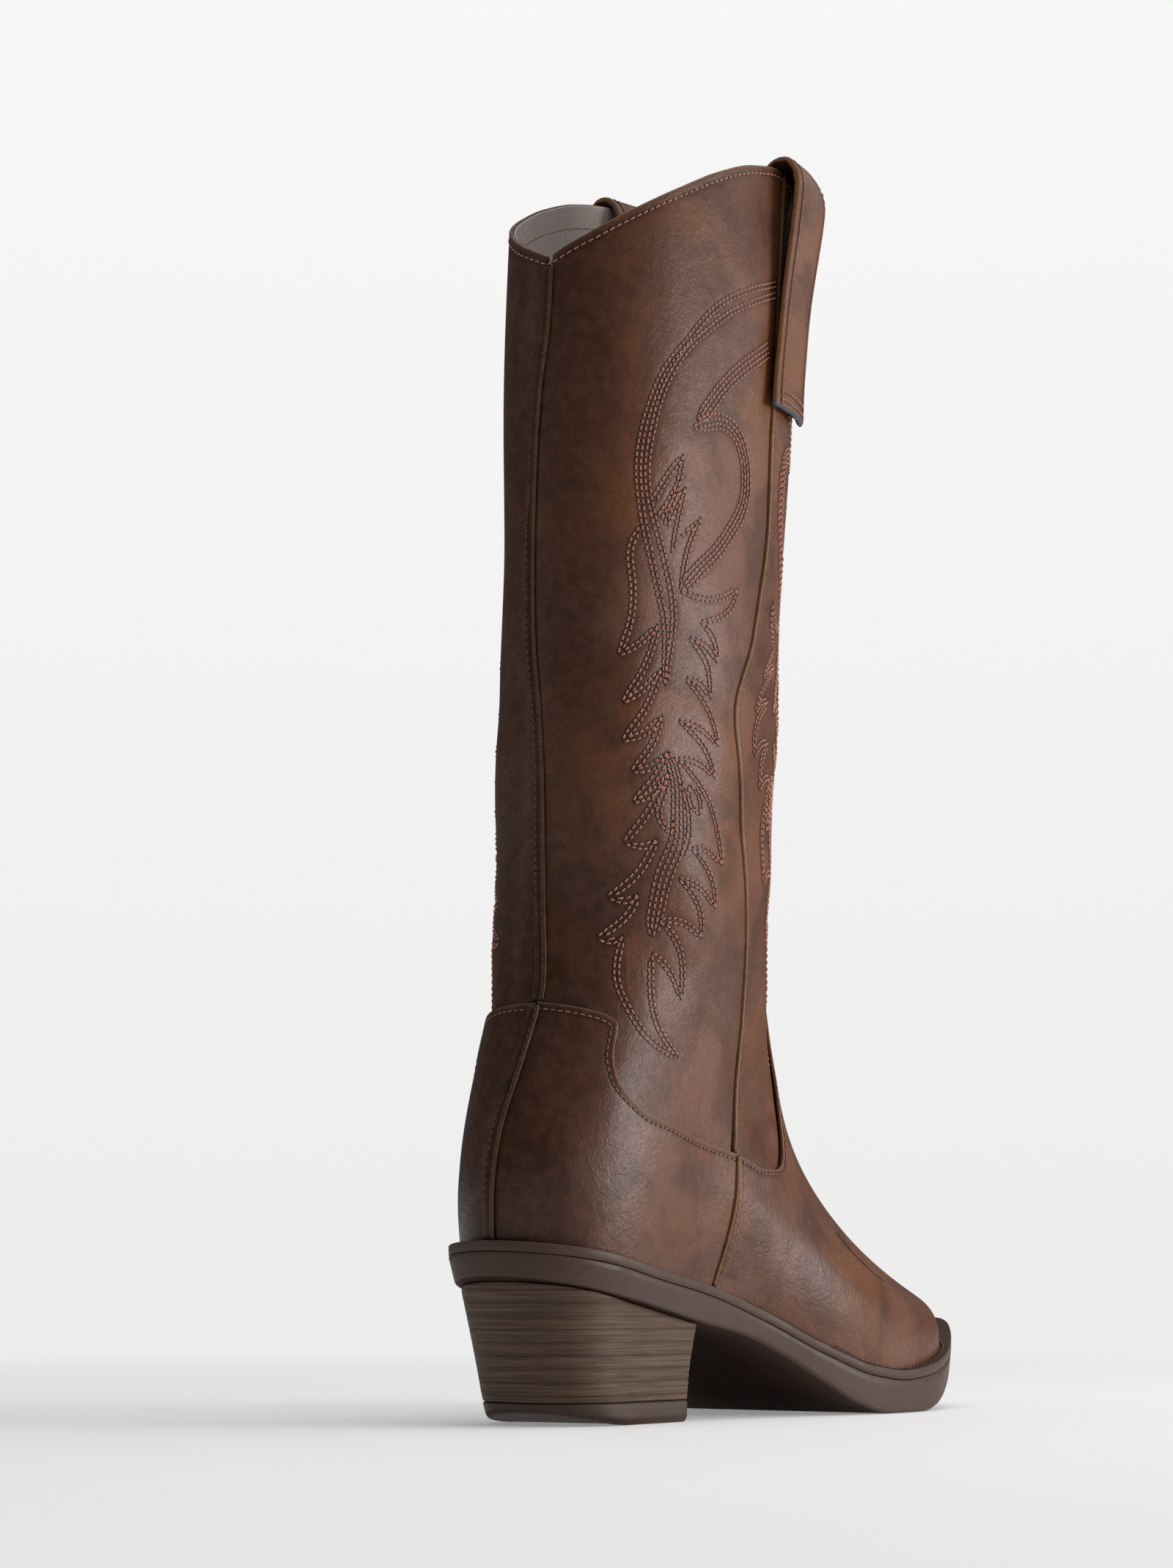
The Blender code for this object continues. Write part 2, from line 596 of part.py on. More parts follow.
def build_bottom(looks):
    inside = foot_outline(4.4 * MM, 720)       # the insole fits inside the lining
    plate("sock_lining", inside, above(sole_top, 6.6 * MM), above(sole_top, 5.6 * MM),
          looks["lining"], end=25.45)          # ends short of the low toe
    plate("insole_foam", inside, above(sole_top, 5.3 * MM), above(sole_top, 3.1 * MM),
          looks["foam"])
    board = plate("insole_board", inside, above(sole_top, 2.8 * MM), above(sole_top, 0.6 * MM),
                  looks["board"])
    ring_plate("welt", 0, 13 * MM, sole_top, above(sole_top, -3.3 * MM), looks["welt"])
    filler = plate("bottom_filler", outline(13.4 * MM, 720), above(sole_top, -0.1 * MM),
                   above(sole_top, -3.3 * MM), looks["foam"])
    plate("shank", outline(24 * MM, 720), above(sole_top, -1.1 * MM),
          above(sole_top, -2.2 * MM), looks["steel"], start=4.7, end=15.5, count=14)
    slot = plate("shank_slot", outline(23.6 * MM, 720), above(sole_top, 1.0 * MM),
                 above(sole_top, -2.5 * MM), looks["steel"], start=4.65, end=15.55, count=14)
    make_cutter(slot)
    cut(filler, slot)
    outsole = plate("outsole", outline(0.2 * MM, 720), above(sole_top, -3.6 * MM),
                    sole_bottom, looks["sole"], count=40)
    heel = heel_block(looks["heel"])
    top_lift(looks["lift"])
    return board, filler, outsole, heel


def build_fixings(looks, board, filler, outsole, heel):
    places = [("heel_screw", 3.75, 0, SCREW_RADIUS, 0.36, 1.9)]
    for i, (s, l) in enumerate([(1.75, 0.75), (1.75, -0.75), (5.6, 1.5), (5.6, -1.5)]):
        places.append((f"heel_nail_{i + 1}", s, l, NAIL_RADIUS, 0.2, 2.6))
    for name, s, l, radius, head, low in places:
        high = float(sole_top(s + head)) + 2.5 * MM
        rod(name, s, l, low, high, radius, looks["steel"], head, 1.0 * MM)
        shaft = make_cutter(rod(name + "_hole", s, l, low - CLEARANCE, high + 1,
                                radius + CLEARANCE, looks["steel"]))
        seat = make_cutter(rod(name + "_seat", s, l, high - 1.0 * MM - CLEARANCE, high + 1,
                               head + CLEARANCE, looks["steel"]))
        for piece in (board, filler, outsole, heel):
            cut(piece, shaft)
        cut(board, seat)


def clear_scene():
    for thing in list(bpy.data.objects):
        bpy.data.objects.remove(thing, do_unlink=True)


clear_scene()
BOOT = new_collection("western_boot")
CUTTERS = new_collection("cutters")
LOOKS = {
    "leather": material("shaft_leather", (0.105, 0.05, 0.03), 0.45),
    "overlay": material("foot_leather", (0.12, 0.055, 0.033), 0.42),
    "trim": material("trim_leather", (0.15, 0.075, 0.04), 0.5),
    "lining": material("lining_textile", (0.19, 0.15, 0.135), 0.9),
    "board": material("stiffener_board", (0.3, 0.25, 0.19), 0.85),
    "foam": material("foam", (0.42, 0.36, 0.28), 0.9),
    "welt": material("welt_rubber", (0.095, 0.06, 0.047), 0.55),
    "sole": material("sole_rubber", (0.085, 0.053, 0.042), 0.6),
    "heel": material("stacked_heel", (0.15, 0.105, 0.08), 0.6),
    "lift": material("top_lift_rubber", (0.075, 0.045, 0.037), 0.65),
    "steel": material("steel", (0.55, 0.55, 0.56), 0.35, 1.0),
}
build_upper(LOOKS)
build_inside(LOOKS)
BOARD, FILLER, OUTSOLE, HEEL = build_bottom(LOOKS)
build_fixings(LOOKS, BOARD, FILLER, OUTSOLE, HEEL)
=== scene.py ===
"""Western pull-on boot (right foot): the looks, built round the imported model.

World axes: +Z up, toe toward -Y, outer (lateral) side toward -X, sole on Z = 0.
Points of the form are (s, l, z) in centimetres: s forward from the back of the sole,
l toward the lateral side, z up.  On the upper, u is the share of the way round
(0 back seam, 0.5 front) and v runs up the boot, about one per centimetre.
"""
import json
import math

import bpy
import numpy as np
from mathutils import Euler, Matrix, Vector
from mathutils.kdtree import KDTree


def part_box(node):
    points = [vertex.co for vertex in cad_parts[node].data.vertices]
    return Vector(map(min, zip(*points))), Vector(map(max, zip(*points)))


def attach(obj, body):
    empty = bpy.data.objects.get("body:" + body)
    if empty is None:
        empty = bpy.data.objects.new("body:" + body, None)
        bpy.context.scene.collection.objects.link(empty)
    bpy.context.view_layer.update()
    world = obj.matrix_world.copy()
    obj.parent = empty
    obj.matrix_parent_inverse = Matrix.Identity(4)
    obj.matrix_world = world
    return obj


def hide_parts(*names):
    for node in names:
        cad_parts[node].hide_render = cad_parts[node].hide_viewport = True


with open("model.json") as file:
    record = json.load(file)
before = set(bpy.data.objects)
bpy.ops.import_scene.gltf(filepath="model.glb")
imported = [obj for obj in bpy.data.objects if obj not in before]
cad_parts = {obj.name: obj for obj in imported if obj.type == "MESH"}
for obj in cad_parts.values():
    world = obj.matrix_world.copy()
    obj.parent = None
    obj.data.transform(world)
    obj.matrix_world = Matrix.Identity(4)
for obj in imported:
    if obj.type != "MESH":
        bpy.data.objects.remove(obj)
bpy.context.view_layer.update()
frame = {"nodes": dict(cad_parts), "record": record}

CM = 0.01
MM = 0.1                      # one millimetre, in the centimetres used below
SOLE_LENGTH = 27.95
Y_OF_HEEL_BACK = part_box("welt")[1][1] / CM
X_OF_MIDLINE = frame["record"]["mounts"][0]["pos_m"][0] / CM

# ---- leather and lining thicknesses and the levels they lie at (cm) ----------
LEATHER = 1.3 * MM            # shaft panels, outer face on the form itself
OVERLAY = 1.1 * MM            # vamp and counters, lapped over the shaft panels
OVERLAY_LEVEL = 1.8 * MM
LINING = 0.7 * MM
LINING_LEVEL = -1.9 * MM
SEAT_GAP = 0.1 * MM           # the upper stands this far above the top of the welt
PITCH = 1.15 * MM      # spacing of the leather's grid
SIDE_SEAM = 0.27
GIRTH, FOOT_GIRTH, STRAP_GIRTH = 33.0, 40.0, 28.0     # cm along the leather for u from 0 to 1
BACK_SEAM_LINE = [(0, 0), (3.6, .006), (6, .014), (8, .018), (11, .012), (15, .003), (18, -.004),
                  (21, -.015), (24, -.018), (27, -.015), (29.2, -.007), (31, .004), (34, .009)]
SIDE_SEAM_LINE = [(0, .25), (2.5, .262), (5.2, .27), (9.6, .286), (12.5, .28), (15.3, .275),
                  (18.4, .259), (21.2, .284), (25.5, .312), (29, .307), (38, .31)]

# ---- pull straps ----------------------------------------------------------------
STRAP_CENTRE = 0.297
STRAP_HALF = 0.043
STRAP_THICKNESS = 2.2 * MM
# level above the form (cm) and v, from the end sewn outside, over the top line, to the end inside
STRAP_PATH = [(.42, 29.6), (.4, 30.6), (.44, 32), (.56, 34), (.74, 35.7), (.86, 37.1),
              (.8, 38.1), (.42, 38.64), (-.2, 38.6), (-.66, 38), (-.8, 36.7), (-.7, 34.9),
              (-.57, 33.6), (-.57, 32.6)]

# ---- heel ---------------------------------------------------------------------
HEEL_HEIGHT = 4.6
TOP_LIFT = 0.75
LAYER = 4.3 * MM              # one leather layer of the stack
HEEL_LENGTH_TOP = 7.65
HEEL_LENGTH_BOTTOM = 6.15
HEEL_SETBACK_TOP = 0.85
HEEL_SETBACK_BOTTOM = 2.1
HEEL_HALF_TOP = 2.82
HEEL_HALF_BOTTOM = 2.55
HEEL_ROCKER = 0.45            # the back of the top lift is worn up by this much
HEEL_SQUARENESS = 2.35        # of the heel's rounded back


# ---- smooth curves through a few points ---------------------------------------
def run_along(points):
    """Distance along a line of points, from its start to each of them."""
    steps = np.linalg.norm(np.diff(points, axis=0), axis=1)
    return np.concatenate([[0], np.cumsum(steps)])


def smooth(points, x):
    """Monotone cubic through (x, y) points: no overshoot between them."""
    px = np.array([p[0] for p in points], float)
    py = np.array([p[1] for p in points], float)
    step = np.diff(px)
    slope = np.diff(py) / step
    m = np.zeros(len(px))
    m[0], m[-1] = slope[0], slope[-1]
    for i in range(1, len(px) - 1):
        if slope[i - 1] * slope[i] > 0:
            w1, w2 = 2 * step[i] + step[i - 1], step[i] + 2 * step[i - 1]
            m[i] = (w1 + w2) / (w1 / slope[i - 1] + w2 / slope[i])
    x = np.clip(np.asarray(x, float), px[0], px[-1])
    k = np.clip(np.searchsorted(px, x, side="right") - 1, 0, len(px) - 2)
    h = step[k]
    t = (x - px[k]) / h
    return ((2 * t**3 - 3 * t**2 + 1) * py[k] + (t**3 - 2 * t**2 + t) * h * m[k]
            + (3 * t**2 - 2 * t**3) * py[k + 1] + (t**3 - t**2) * h * m[k + 1])


def spline_weights(x, xq, period=None):
    """Matrix taking values at x to a twice-smooth cubic spline at xq."""
    n = len(x)
    if period is not None:
        wide = spline_weights(np.concatenate([x - period, x, x + period]), xq)
        return wide[:, :n] + wide[:, n:2 * n] + wide[:, 2 * n:]
    h = np.diff(x)
    a, b = np.zeros((n, n)), np.zeros((n, n))
    a[0, 0] = a[-1, -1] = 1
    for i in range(1, n - 1):
        a[i, i - 1:i + 2] = h[i - 1], 2 * (h[i - 1] + h[i]), h[i]
        b[i, i - 1:i + 2] = 6 / h[i - 1], -6 / h[i - 1] - 6 / h[i], 6 / h[i]
    bend = np.linalg.solve(a, b)
    k = np.clip(np.searchsorted(x, xq, side="right") - 1, 0, n - 2)
    span = x[k + 1] - x[k]
    t = xq - x[k]
    r = span - t
    out = np.zeros((len(xq), n))
    rows = np.arange(len(xq))
    out[rows, k] += r / span
    out[rows, k + 1] += t / span
    out += (r**3 / (6 * span) - r * span / 6)[:, None] * bend[k]
    out += (t**3 / (6 * span) - t * span / 6)[:, None] * bend[k + 1]
    return out


# ---- the sole's side view -----------------------------------------------------
def sole_top(s):
    return smooth([(0, 6.0), (2.7, 5.62), (5.2, 5.12), (9, 4.48), (12, 3.65), (15, 2.48),
                   (17.4, 1.72), (19.4, 1.52), (21.5, 1.67), (24, 2.14), (26, 2.7),
                   (28.2, 3.45)], s)


def sole_bottom(s):
    return smooth([(0, 4.85), (8, 3.35), (11, 2.82), (13, 2.1), (15, 1.12), (16.6, 0.38),
                   (18.4, 0), (20.9, 0), (22.4, 0.19), (24.3, 0.78), (26.2, 1.5),
                   (28.2, 2.35)], s)


# ---- form of the last: rings from the feather line up -------------------------
# stations of a foot ring: back, back corner, heel side, waist, ball back, ball,
# toe side, toe corner, front; each (s, lateral half, medial half, z)
AROUND = np.array([0, .05, .12, .25, .32, .38, .43, .47, .5])
FEATHER = [(0.55, 0, 0, 5.9), (1.35, 1.7, 1.7, 5.8), (3.6, 2.8, 2.75, 5.4), (9.3, 2.75, 2.45, 4.4),
           (13.6, 3.5, 3.05, 3.05), (17.6, 4.2, 3.75, 1.7), (21.8, 3.95, 3.85, 1.7),
           (24.9, 2.7, 2.75, 2.4), (26.1, 0.25, -0.25, 2.75)]
LOW = [(0.35, 0, 0, 8.2), (1.2, 1.85, 1.8, 8.15), (3.7, 3.05, 2.85, 7.75), (9.2, 3.05, 2.8, 6.6),
       (13.5, 3.7, 3.45, 5.3), (17.5, 4.2, 4.05, 3.8), (21.7, 3.85, 3.9, 3.35),
       (24.7, 2.6, 2.65, 3.55), (25.8, 0.25, -0.25, 3.9)]
MIDDLE = [(0.95, 0, 0, 11), (1.75, 1.85, 1.7, 10.9), (4.05, 3.1, 2.85, 10.5),
          (9.1, 3.2, 3.05, 9.3), (13, 3.3, 3.3, 8), (16.7, 3.3, 3.45, 6.3),
          (20.6, 2.75, 2.95, 5.05), (23.4, 1.65, 1.75, 4.75), (24.6, 0.15, -0.15, 4.7)]
INSTEP = [(1.95, 0, 0, 14), (2.65, 1.85, 1.65, 13.9), (4.8, 3.2, 2.9, 13.6), (8.9, 3.5, 3.3, 12.6),
          (11.9, 3.1, 3.15, 11.3), (14.6, 2.45, 2.7, 9.9), (17, 1.5, 1.8, 8.7),
          (18.6, 0.7, 0.9, 7.85), (19.3, 0.1, -0.1, 7.15)]
THROAT = [(2.3, 0.1, -0.1, 17), (3, 1.95, 1.65, 17), (4.95, 3.5, 3, 16.9), (8.8, 4.05, 3.4, 16.6),
          (11.3, 3.6, 3.15, 16), (13.1, 2.75, 2.6, 15.2), (14.2, 1.8, 1.7, 14.3),
          (14.9, 0.9, 0.75, 13.4), (15.2, 0.2, -0.1, 12.4)]
# shaft rings: height, centre forward, centre lateral, half length, half width
SHAFT = [(20.5, 7.95, 0.65, 5.9, 3.9), (25, 7.75, 0.95, 6.1, 3.85), (30, 7.6, 1.3, 6.3, 3.8),
         (35, 7.55, 1.6, 6.55, 3.8), (40, 7.55, 1.85, 6.8, 3.8), (46, 7.55, 2.15, 7, 3.8)]
SHAFT_SQUARENESS = 2.3
# v runs up the boot, about one per centimetre; these are the rings' values of v
RING_V = np.array([0, 2.4, 5.2, 8.2, 11.4, 14.9, 19.4, 24.4, 29.4, 34.4, 40.4])
ALL_AROUND = np.concatenate([AROUND, 1 - AROUND[-2:0:-1]])


def foot_ring(rows):
    lateral = [(s, a, z) for s, a, m, z in rows]
    medial = [(s, -m, z) for s, a, m, z in rows]
    return lateral + medial[-2:0:-1]


def shaft_ring(height, forward, side, half_length, half_width):
    angle = 2 * math.pi * ALL_AROUND
    c, d = -np.cos(angle), np.sin(angle)
    r = (abs(c)**SHAFT_SQUARENESS + abs(d)**SHAFT_SQUARENESS)**(-1 / SHAFT_SQUARENESS)
    return np.stack([forward + half_length * c * r, side + half_width * d * r,
                     np.full_like(c, height)], axis=1)


RINGS = np.array([foot_ring(r) for r in (FEATHER, LOW, MIDDLE, INSTEP, THROAT)]
                 + [shaft_ring(*r) for r in SHAFT])


def form(u, v):
    """Point of the form for arrays u (share of the way round) and v (height)."""
    flat_u, flat_v = np.ravel(u), np.ravel(v)
    around = spline_weights(ALL_AROUND, np.mod(flat_u, 1.0), 1.0)
    up = spline_weights(RING_V, flat_v)
    p = np.einsum("na,abk,nb->nk", up, RINGS, around)
    # the lowest part settles exactly on the sole's top
    foot = np.einsum("bk,nb->nk", RINGS[0], around)
    settle = np.clip(1 - flat_v / 2.4, 0, 1)**2
    p[:, 2] += settle * (sole_top(foot[:, 0]) + SEAT_GAP - foot[:, 2])
    return p.reshape(np.shape(u) + (3,))


def settled(u, v):
    """Share of the way round, moved so that the seams follow their own lines."""
    u = np.mod(np.asarray(u, float), 1.0)
    back, side = smooth(BACK_SEAM_LINE, v), smooth(SIDE_SEAM_LINE, v)
    from_back, from_side = u / SIDE_SEAM, (u - SIDE_SEAM) / (0.5 - SIDE_SEAM)
    lateral = np.where(u < SIDE_SEAM, back + (side - back) * from_back,
                       side + (0.5 - side) * from_side)
    to_side, to_back = (u - 0.5) / (0.5 - SIDE_SEAM), (u - 1 + SIDE_SEAM) / SIDE_SEAM
    medial = np.where(u < 1 - SIDE_SEAM, 0.5 + (0.5 - side) * to_side,
                      1 - side + (side + back) * to_back)
    return np.where(u < 0.5, lateral, medial)


def to_world(p):
    p = np.asarray(p, float)
    return np.stack([X_OF_MIDLINE - p[..., 1], Y_OF_HEEL_BACK - p[..., 0], p[..., 2]],
                    axis=-1) * CM


# ---- edges of the leather pieces, v against u ---------------------------------
def fold(u):
    """Share of the way from the back seam to the front, on either side."""
    u = np.mod(np.asarray(u, float), 1.0)
    return np.minimum(u, 1 - u)


def top_line(u):
    return smooth([(0, 33.4), (.05, 34.1), (.09, 34.9), (.145, 36.2), (.18, 37.1), (.22, 37.9),
                   (.262, 38.3), (.32, 37.7), (.38, 36.2), (.44, 34.8), (.5, 34.2)], fold(u))


def counter_top(u):
    return smooth([(0, 8), (.045, 7.9), (.0725, 7.6), (.0765, 6.5), (.1, 5.45), (.142, 5.0),
                   (.213, 5.0), (.27, 5.2)], fold(u))


def vamp_top(u):
    return smooth([(.27, 5.2), (.29, 5.2), (.31, 5.55), (.33, 6.3), (.345, 7.6), (.36, 9),
                   (.39, 10.6), (.43, 11.8), (.5, 13)], fold(u))


# ---- outline of the sole ------------------------------------------------------
RIM = [(0.35, 1.4, 1.35), (1.4, 2.55, 2.5), (3.6, 3.25, 3.15), (6.8, 3.3, 3.1),
       (9.5, 3.2, 2.85), (12, 3.35, 2.85), (14.6, 3.9, 3.3), (17.4, 4.55, 4.05),
       (19.6, 4.72, 4.5), (22.4, 4.4, 4.45), (25, 3.45, 3.6), (26.8, 2.45, 2.55),
       (27.8, 1.5, 1.5)]
RIM_KNOTS = np.array([(0, 0)] + [(s, a) for s, a, m in RIM] + [(SOLE_LENGTH, 0)]
                     + [(s, -m) for s, a, m in reversed(RIM)])


def moved_in(knots, inset, count):
    """Points round a closed loop, moved in by an inset."""
    run = run_along(np.vstack([knots, knots[:1]]))
    t = np.arange(count) / count * run[-1]
    e = 0.02
    p = spline_weights(run[:-1], t, run[-1]) @ knots
    q = spline_weights(run[:-1], np.mod(t + e, run[-1]), run[-1]) @ knots
    along = (q - p) / np.linalg.norm(q - p, axis=1, keepdims=True)
    inward = np.stack([along[:, 1], -along[:, 0]], axis=1)
    return p + inward * inset


def outline(inset, count):
    """Rim of the sole from the heel back, lateral side first."""
    return moved_in(RIM_KNOTS, inset, count)


# ---- the leather's slack: soft folds that every layer of the upper follows ------
# u, v, turn (degrees), half length (cm), half width (cm), height (mm)
FOLDS = [(.13, 12, 12, 3, 1.1, .9), (.12, 9.6, 8, 3.2, .8, -.8), (.2, 14.8, -10, 3, 1, -.9),
         (.23, 17.5, -25, 2.6, 1.1, 1.1), (.15, 19.6, -18, 3.2, 1.3, -.8),
         (.2, 22.2, -30, 3.4, 1.2, .8), (.08, 24.5, -60, 4, 1.2, -.7), (.1, 29, -70, 4.5, 1.4, .6),
         (.21, 27, 80, 5, 1.5, -.6), (.33, 6.4, -35, 3.2, .9, -.7), (.36, 4.6, -20, 3.2, .8, .7),
         (.3, 3.6, -10, 3.6, .8, .6), (.42, 10.4, 10, 3, .8, -.7), (.41, 13.8, 6, 3.4, .9, .8),
         (.45, 16.2, 0, 3.6, 1, -.7), (.06, 4.6, -75, 2.4, .8, -.5), (.37, 25, 85, 6, 1.3, -.6),
         (.44, 29, 80, 5, 1.4, .5)]
# soft waves: how many round the boot and up it, phase, height (mm)
WAVES = [(3.1, .21, .3, .3), (5.3, -.33, 1.7, .22), (7.9, .41, 4.2, .16), (2.2, .52, 2.9, .22),
         (11.3, .27, 5.1, .1), (9.2, -.62, .9, .1)]


def slack(u, v):
    """How far the leather stands off the form there (cm)."""
    side = np.where(np.mod(u, 1.0) > 0.5, 0.6, 0.0)     # the two sides crease differently
    f = fold(u)
    out = np.zeros(np.shape(f))
    for u0, v0, turn, length, width, height in FOLDS:
        x, y = (f - u0) * GIRTH, v - v0 + side * 2.5
        c, d = math.cos(math.radians(turn)), math.sin(math.radians(turn))
        along, across = x * c + y * d, y * c - x * d
        out = out + height * np.exp(-(along / length)**2 - (across / width)**2)
    for around, up, phase, height in WAVES:
        out = out + height * np.sin(2 * math.pi * (around * f + up * v / 5) + phase + side * 4)
    return out * MM * np.clip(v / 2.5, 0, 1) * np.clip((39.5 - v) / 4, 0.3, 1)


def surface(u, v):
    """Point of the slack form and its outward normal."""
    e = 1e-3
    w = settled(u, v)
    p = to_world(form(w, v))
    along = to_world(form(w + e, v)) - to_world(form(w - e, v))
    up = to_world(form(w, v + 10 * e)) - to_world(form(w, v - 10 * e))
    n = np.cross(along, up)
    n /= np.linalg.norm(n, axis=-1, keepdims=True)
    return p + n * (slack(u, v) * CM)[..., None], n


# ---- meshes -------------------------------------------------------------------
def new_piece(name, points, faces, look, slot, *nodes, marks=None, under=None):
    """Object from points and lists of same-sized faces; it rides the boot.  The second
    list of faces takes the look called under, where there is one."""
    points = np.asarray(points, np.float32).reshape(-1, 3)
    corners = np.concatenate([np.asarray(f).ravel() for f in faces]).astype(np.int32)
    sizes = np.concatenate([np.full(len(f), np.shape(f)[1]) for f in faces])
    mesh = bpy.data.meshes.new(name)
    mesh.vertices.add(len(points))
    mesh.vertices.foreach_set("co", points.ravel())
    mesh.loops.add(len(corners))
    mesh.loops.foreach_set("vertex_index", corners)
    mesh.polygons.add(len(sizes))
    mesh.polygons.foreach_set("loop_start", (np.cumsum(sizes) - sizes).astype(np.int32))
    mesh.polygons.foreach_set("use_smooth", np.ones(len(sizes), bool))
    for key, values in (marks or {}).items():
        held = mesh.attributes.new(key, "FLOAT", "POINT")
        held.data.foreach_set("value", np.asarray(values, np.float32).ravel())
    mesh.update(calc_edges=True)
    mesh.materials.append(look)
    if under:
        mesh.materials.append(under)
        which = np.zeros(len(sizes), np.int32)
        which[len(faces[0]):len(faces[0]) + len(faces[1])] = 1
        mesh.polygons.foreach_set("material_index", which)
    piece = bpy.data.objects.new(name, mesh)
    bpy.context.scene.collection.objects.link(piece)
    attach(piece, "root")
    if nodes:
        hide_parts(*nodes)
    return piece


def grid_faces(rows, columns, closed=False, flip=False, start=0):
    i = np.arange(rows - 1)[:, None] * columns
    j = np.arange(columns if closed else columns - 1)[None, :]
    k = (j + 1) % columns
    quads = np.stack([i + j, i + k, i + columns + k, i + columns + j], -1).reshape(-1, 4) + start
    return quads[:, ::-1] if flip else quads


def shell_faces(rows, columns, every_row, every_column, closed):
    """Fine outer face, coarse inner face and the wall that joins them."""
    start, m, n = rows * columns, len(every_row), len(every_column)
    walls = []

    def wall(outer, inner_a, inner_b, flip):
        face = list(outer) + [inner_b, inner_a]
        walls.append(np.array([face[::-1] if flip else face]))

    steps = [(every_column[k], every_column[k + 1], k, k + 1) for k in range(n - 1)]
    if closed:
        steps.append((every_column[-1], columns, n - 1, 0))
    for a, b, ka, kb in steps:
        span = [c % columns for c in range(a, b + 1)]
        wall(span, start + ka, start + kb, True)
        wall([(rows - 1) * columns + c for c in span], start + (m - 1) * n + ka,
             start + (m - 1) * n + kb, False)
    if not closed:
        for k in range(m - 1):
            span = range(every_row[k], every_row[k + 1] + 1)
            wall([c * columns for c in span], start + k * n, start + (k + 1) * n, False)
            wall([c * columns + columns - 1 for c in span], start + k * n + n - 1,
                 start + (k + 1) * n + n - 1, True)
    return [grid_faces(rows, columns, closed), grid_faces(m, n, closed, True, start)] + walls


def coarse_grid(rows, columns, step, closed=False):
    """Rows and columns kept on the inner face: every so many of the outer face's."""
    every_row = sorted(set(range(0, rows - 1, step)) | {rows - 1})
    if closed:
        return every_row, list(range(0, columns, step))
    return every_row, sorted(set(range(0, columns - 1, step)) | {columns - 1})


def tree_of(points):
    tree = KDTree(len(points))
    for i, p in enumerate(points):
        tree.insert(p, i)
    tree.balance()
    return tree


def distances(tree, points):
    return np.array([tree.find(p)[2] for p in points]) / CM


def edge_distance(p, closed, reach=0.7, which="btlr"):
    """Distance (cm) from each grid point to the piece's chosen edges, up to a reach."""
    rows, columns = p.shape[:2]
    all_lines = {"b": p[0], "t": p[-1], "l": p[:, 0], "r": p[:, -1]}
    lines = [all_lines[key] for key in which if not (closed and key in "lr")]
    dense = [line[:-1] + (line[1:] - line[:-1]) * part for line in lines for part in
             (0, .25, .5, .75)]
    tree = tree_of(np.vstack(dense + [line[-1:] for line in lines]))
    out = np.full((rows, columns), 9.0)
    count = int(reach / PITCH) + 7
    near = np.zeros((rows, columns), bool)
    near[:count], near[-count:] = True, True
    if not closed:
        near[:, :count * 2], near[:, -count * 2:] = True, True
    out[near] = distances(tree, p[near])
    return out


def with_edges(width, pitch):
    """Shares across a width (cm), with close lines where an edge is rounded off."""
    inner = np.linspace(0, 1, max(3, round(width / pitch)) + 1)
    close = np.array([0, .012, .03, .055, .085]) / width
    inner = inner[(inner > close[-1] * 1.4) & (inner < 1 - close[-1] * 1.4)]
    return np.concatenate([close, inner, 1 - close[::-1]])


def around_lines(start, end, curve, pitch, closed=False):
    """Values of u between two seams, evenly spaced along a curve v(u)."""
    fine = np.linspace(start, end, 2000)
    width = GIRTH + 26 * np.clip(1 - curve(fine) / 12, 0, 1)     # the foot is wider round
    run = np.hypot(np.diff(fine) * width[1:], np.diff(curve(fine)))
    run = np.concatenate([[0], np.cumsum(run)])
    if closed:
        return np.interp(np.linspace(0, 1, round(run[-1] / pitch) + 1)[:-1] * run[-1], run, fine)
    return np.interp(with_edges(run[-1], pitch) * run[-1], run, fine)


def rounding(distance, radius):
    inside = np.clip(radius - distance, 0, radius)
    return radius - np.sqrt(np.maximum(radius**2 - inside**2, 0))


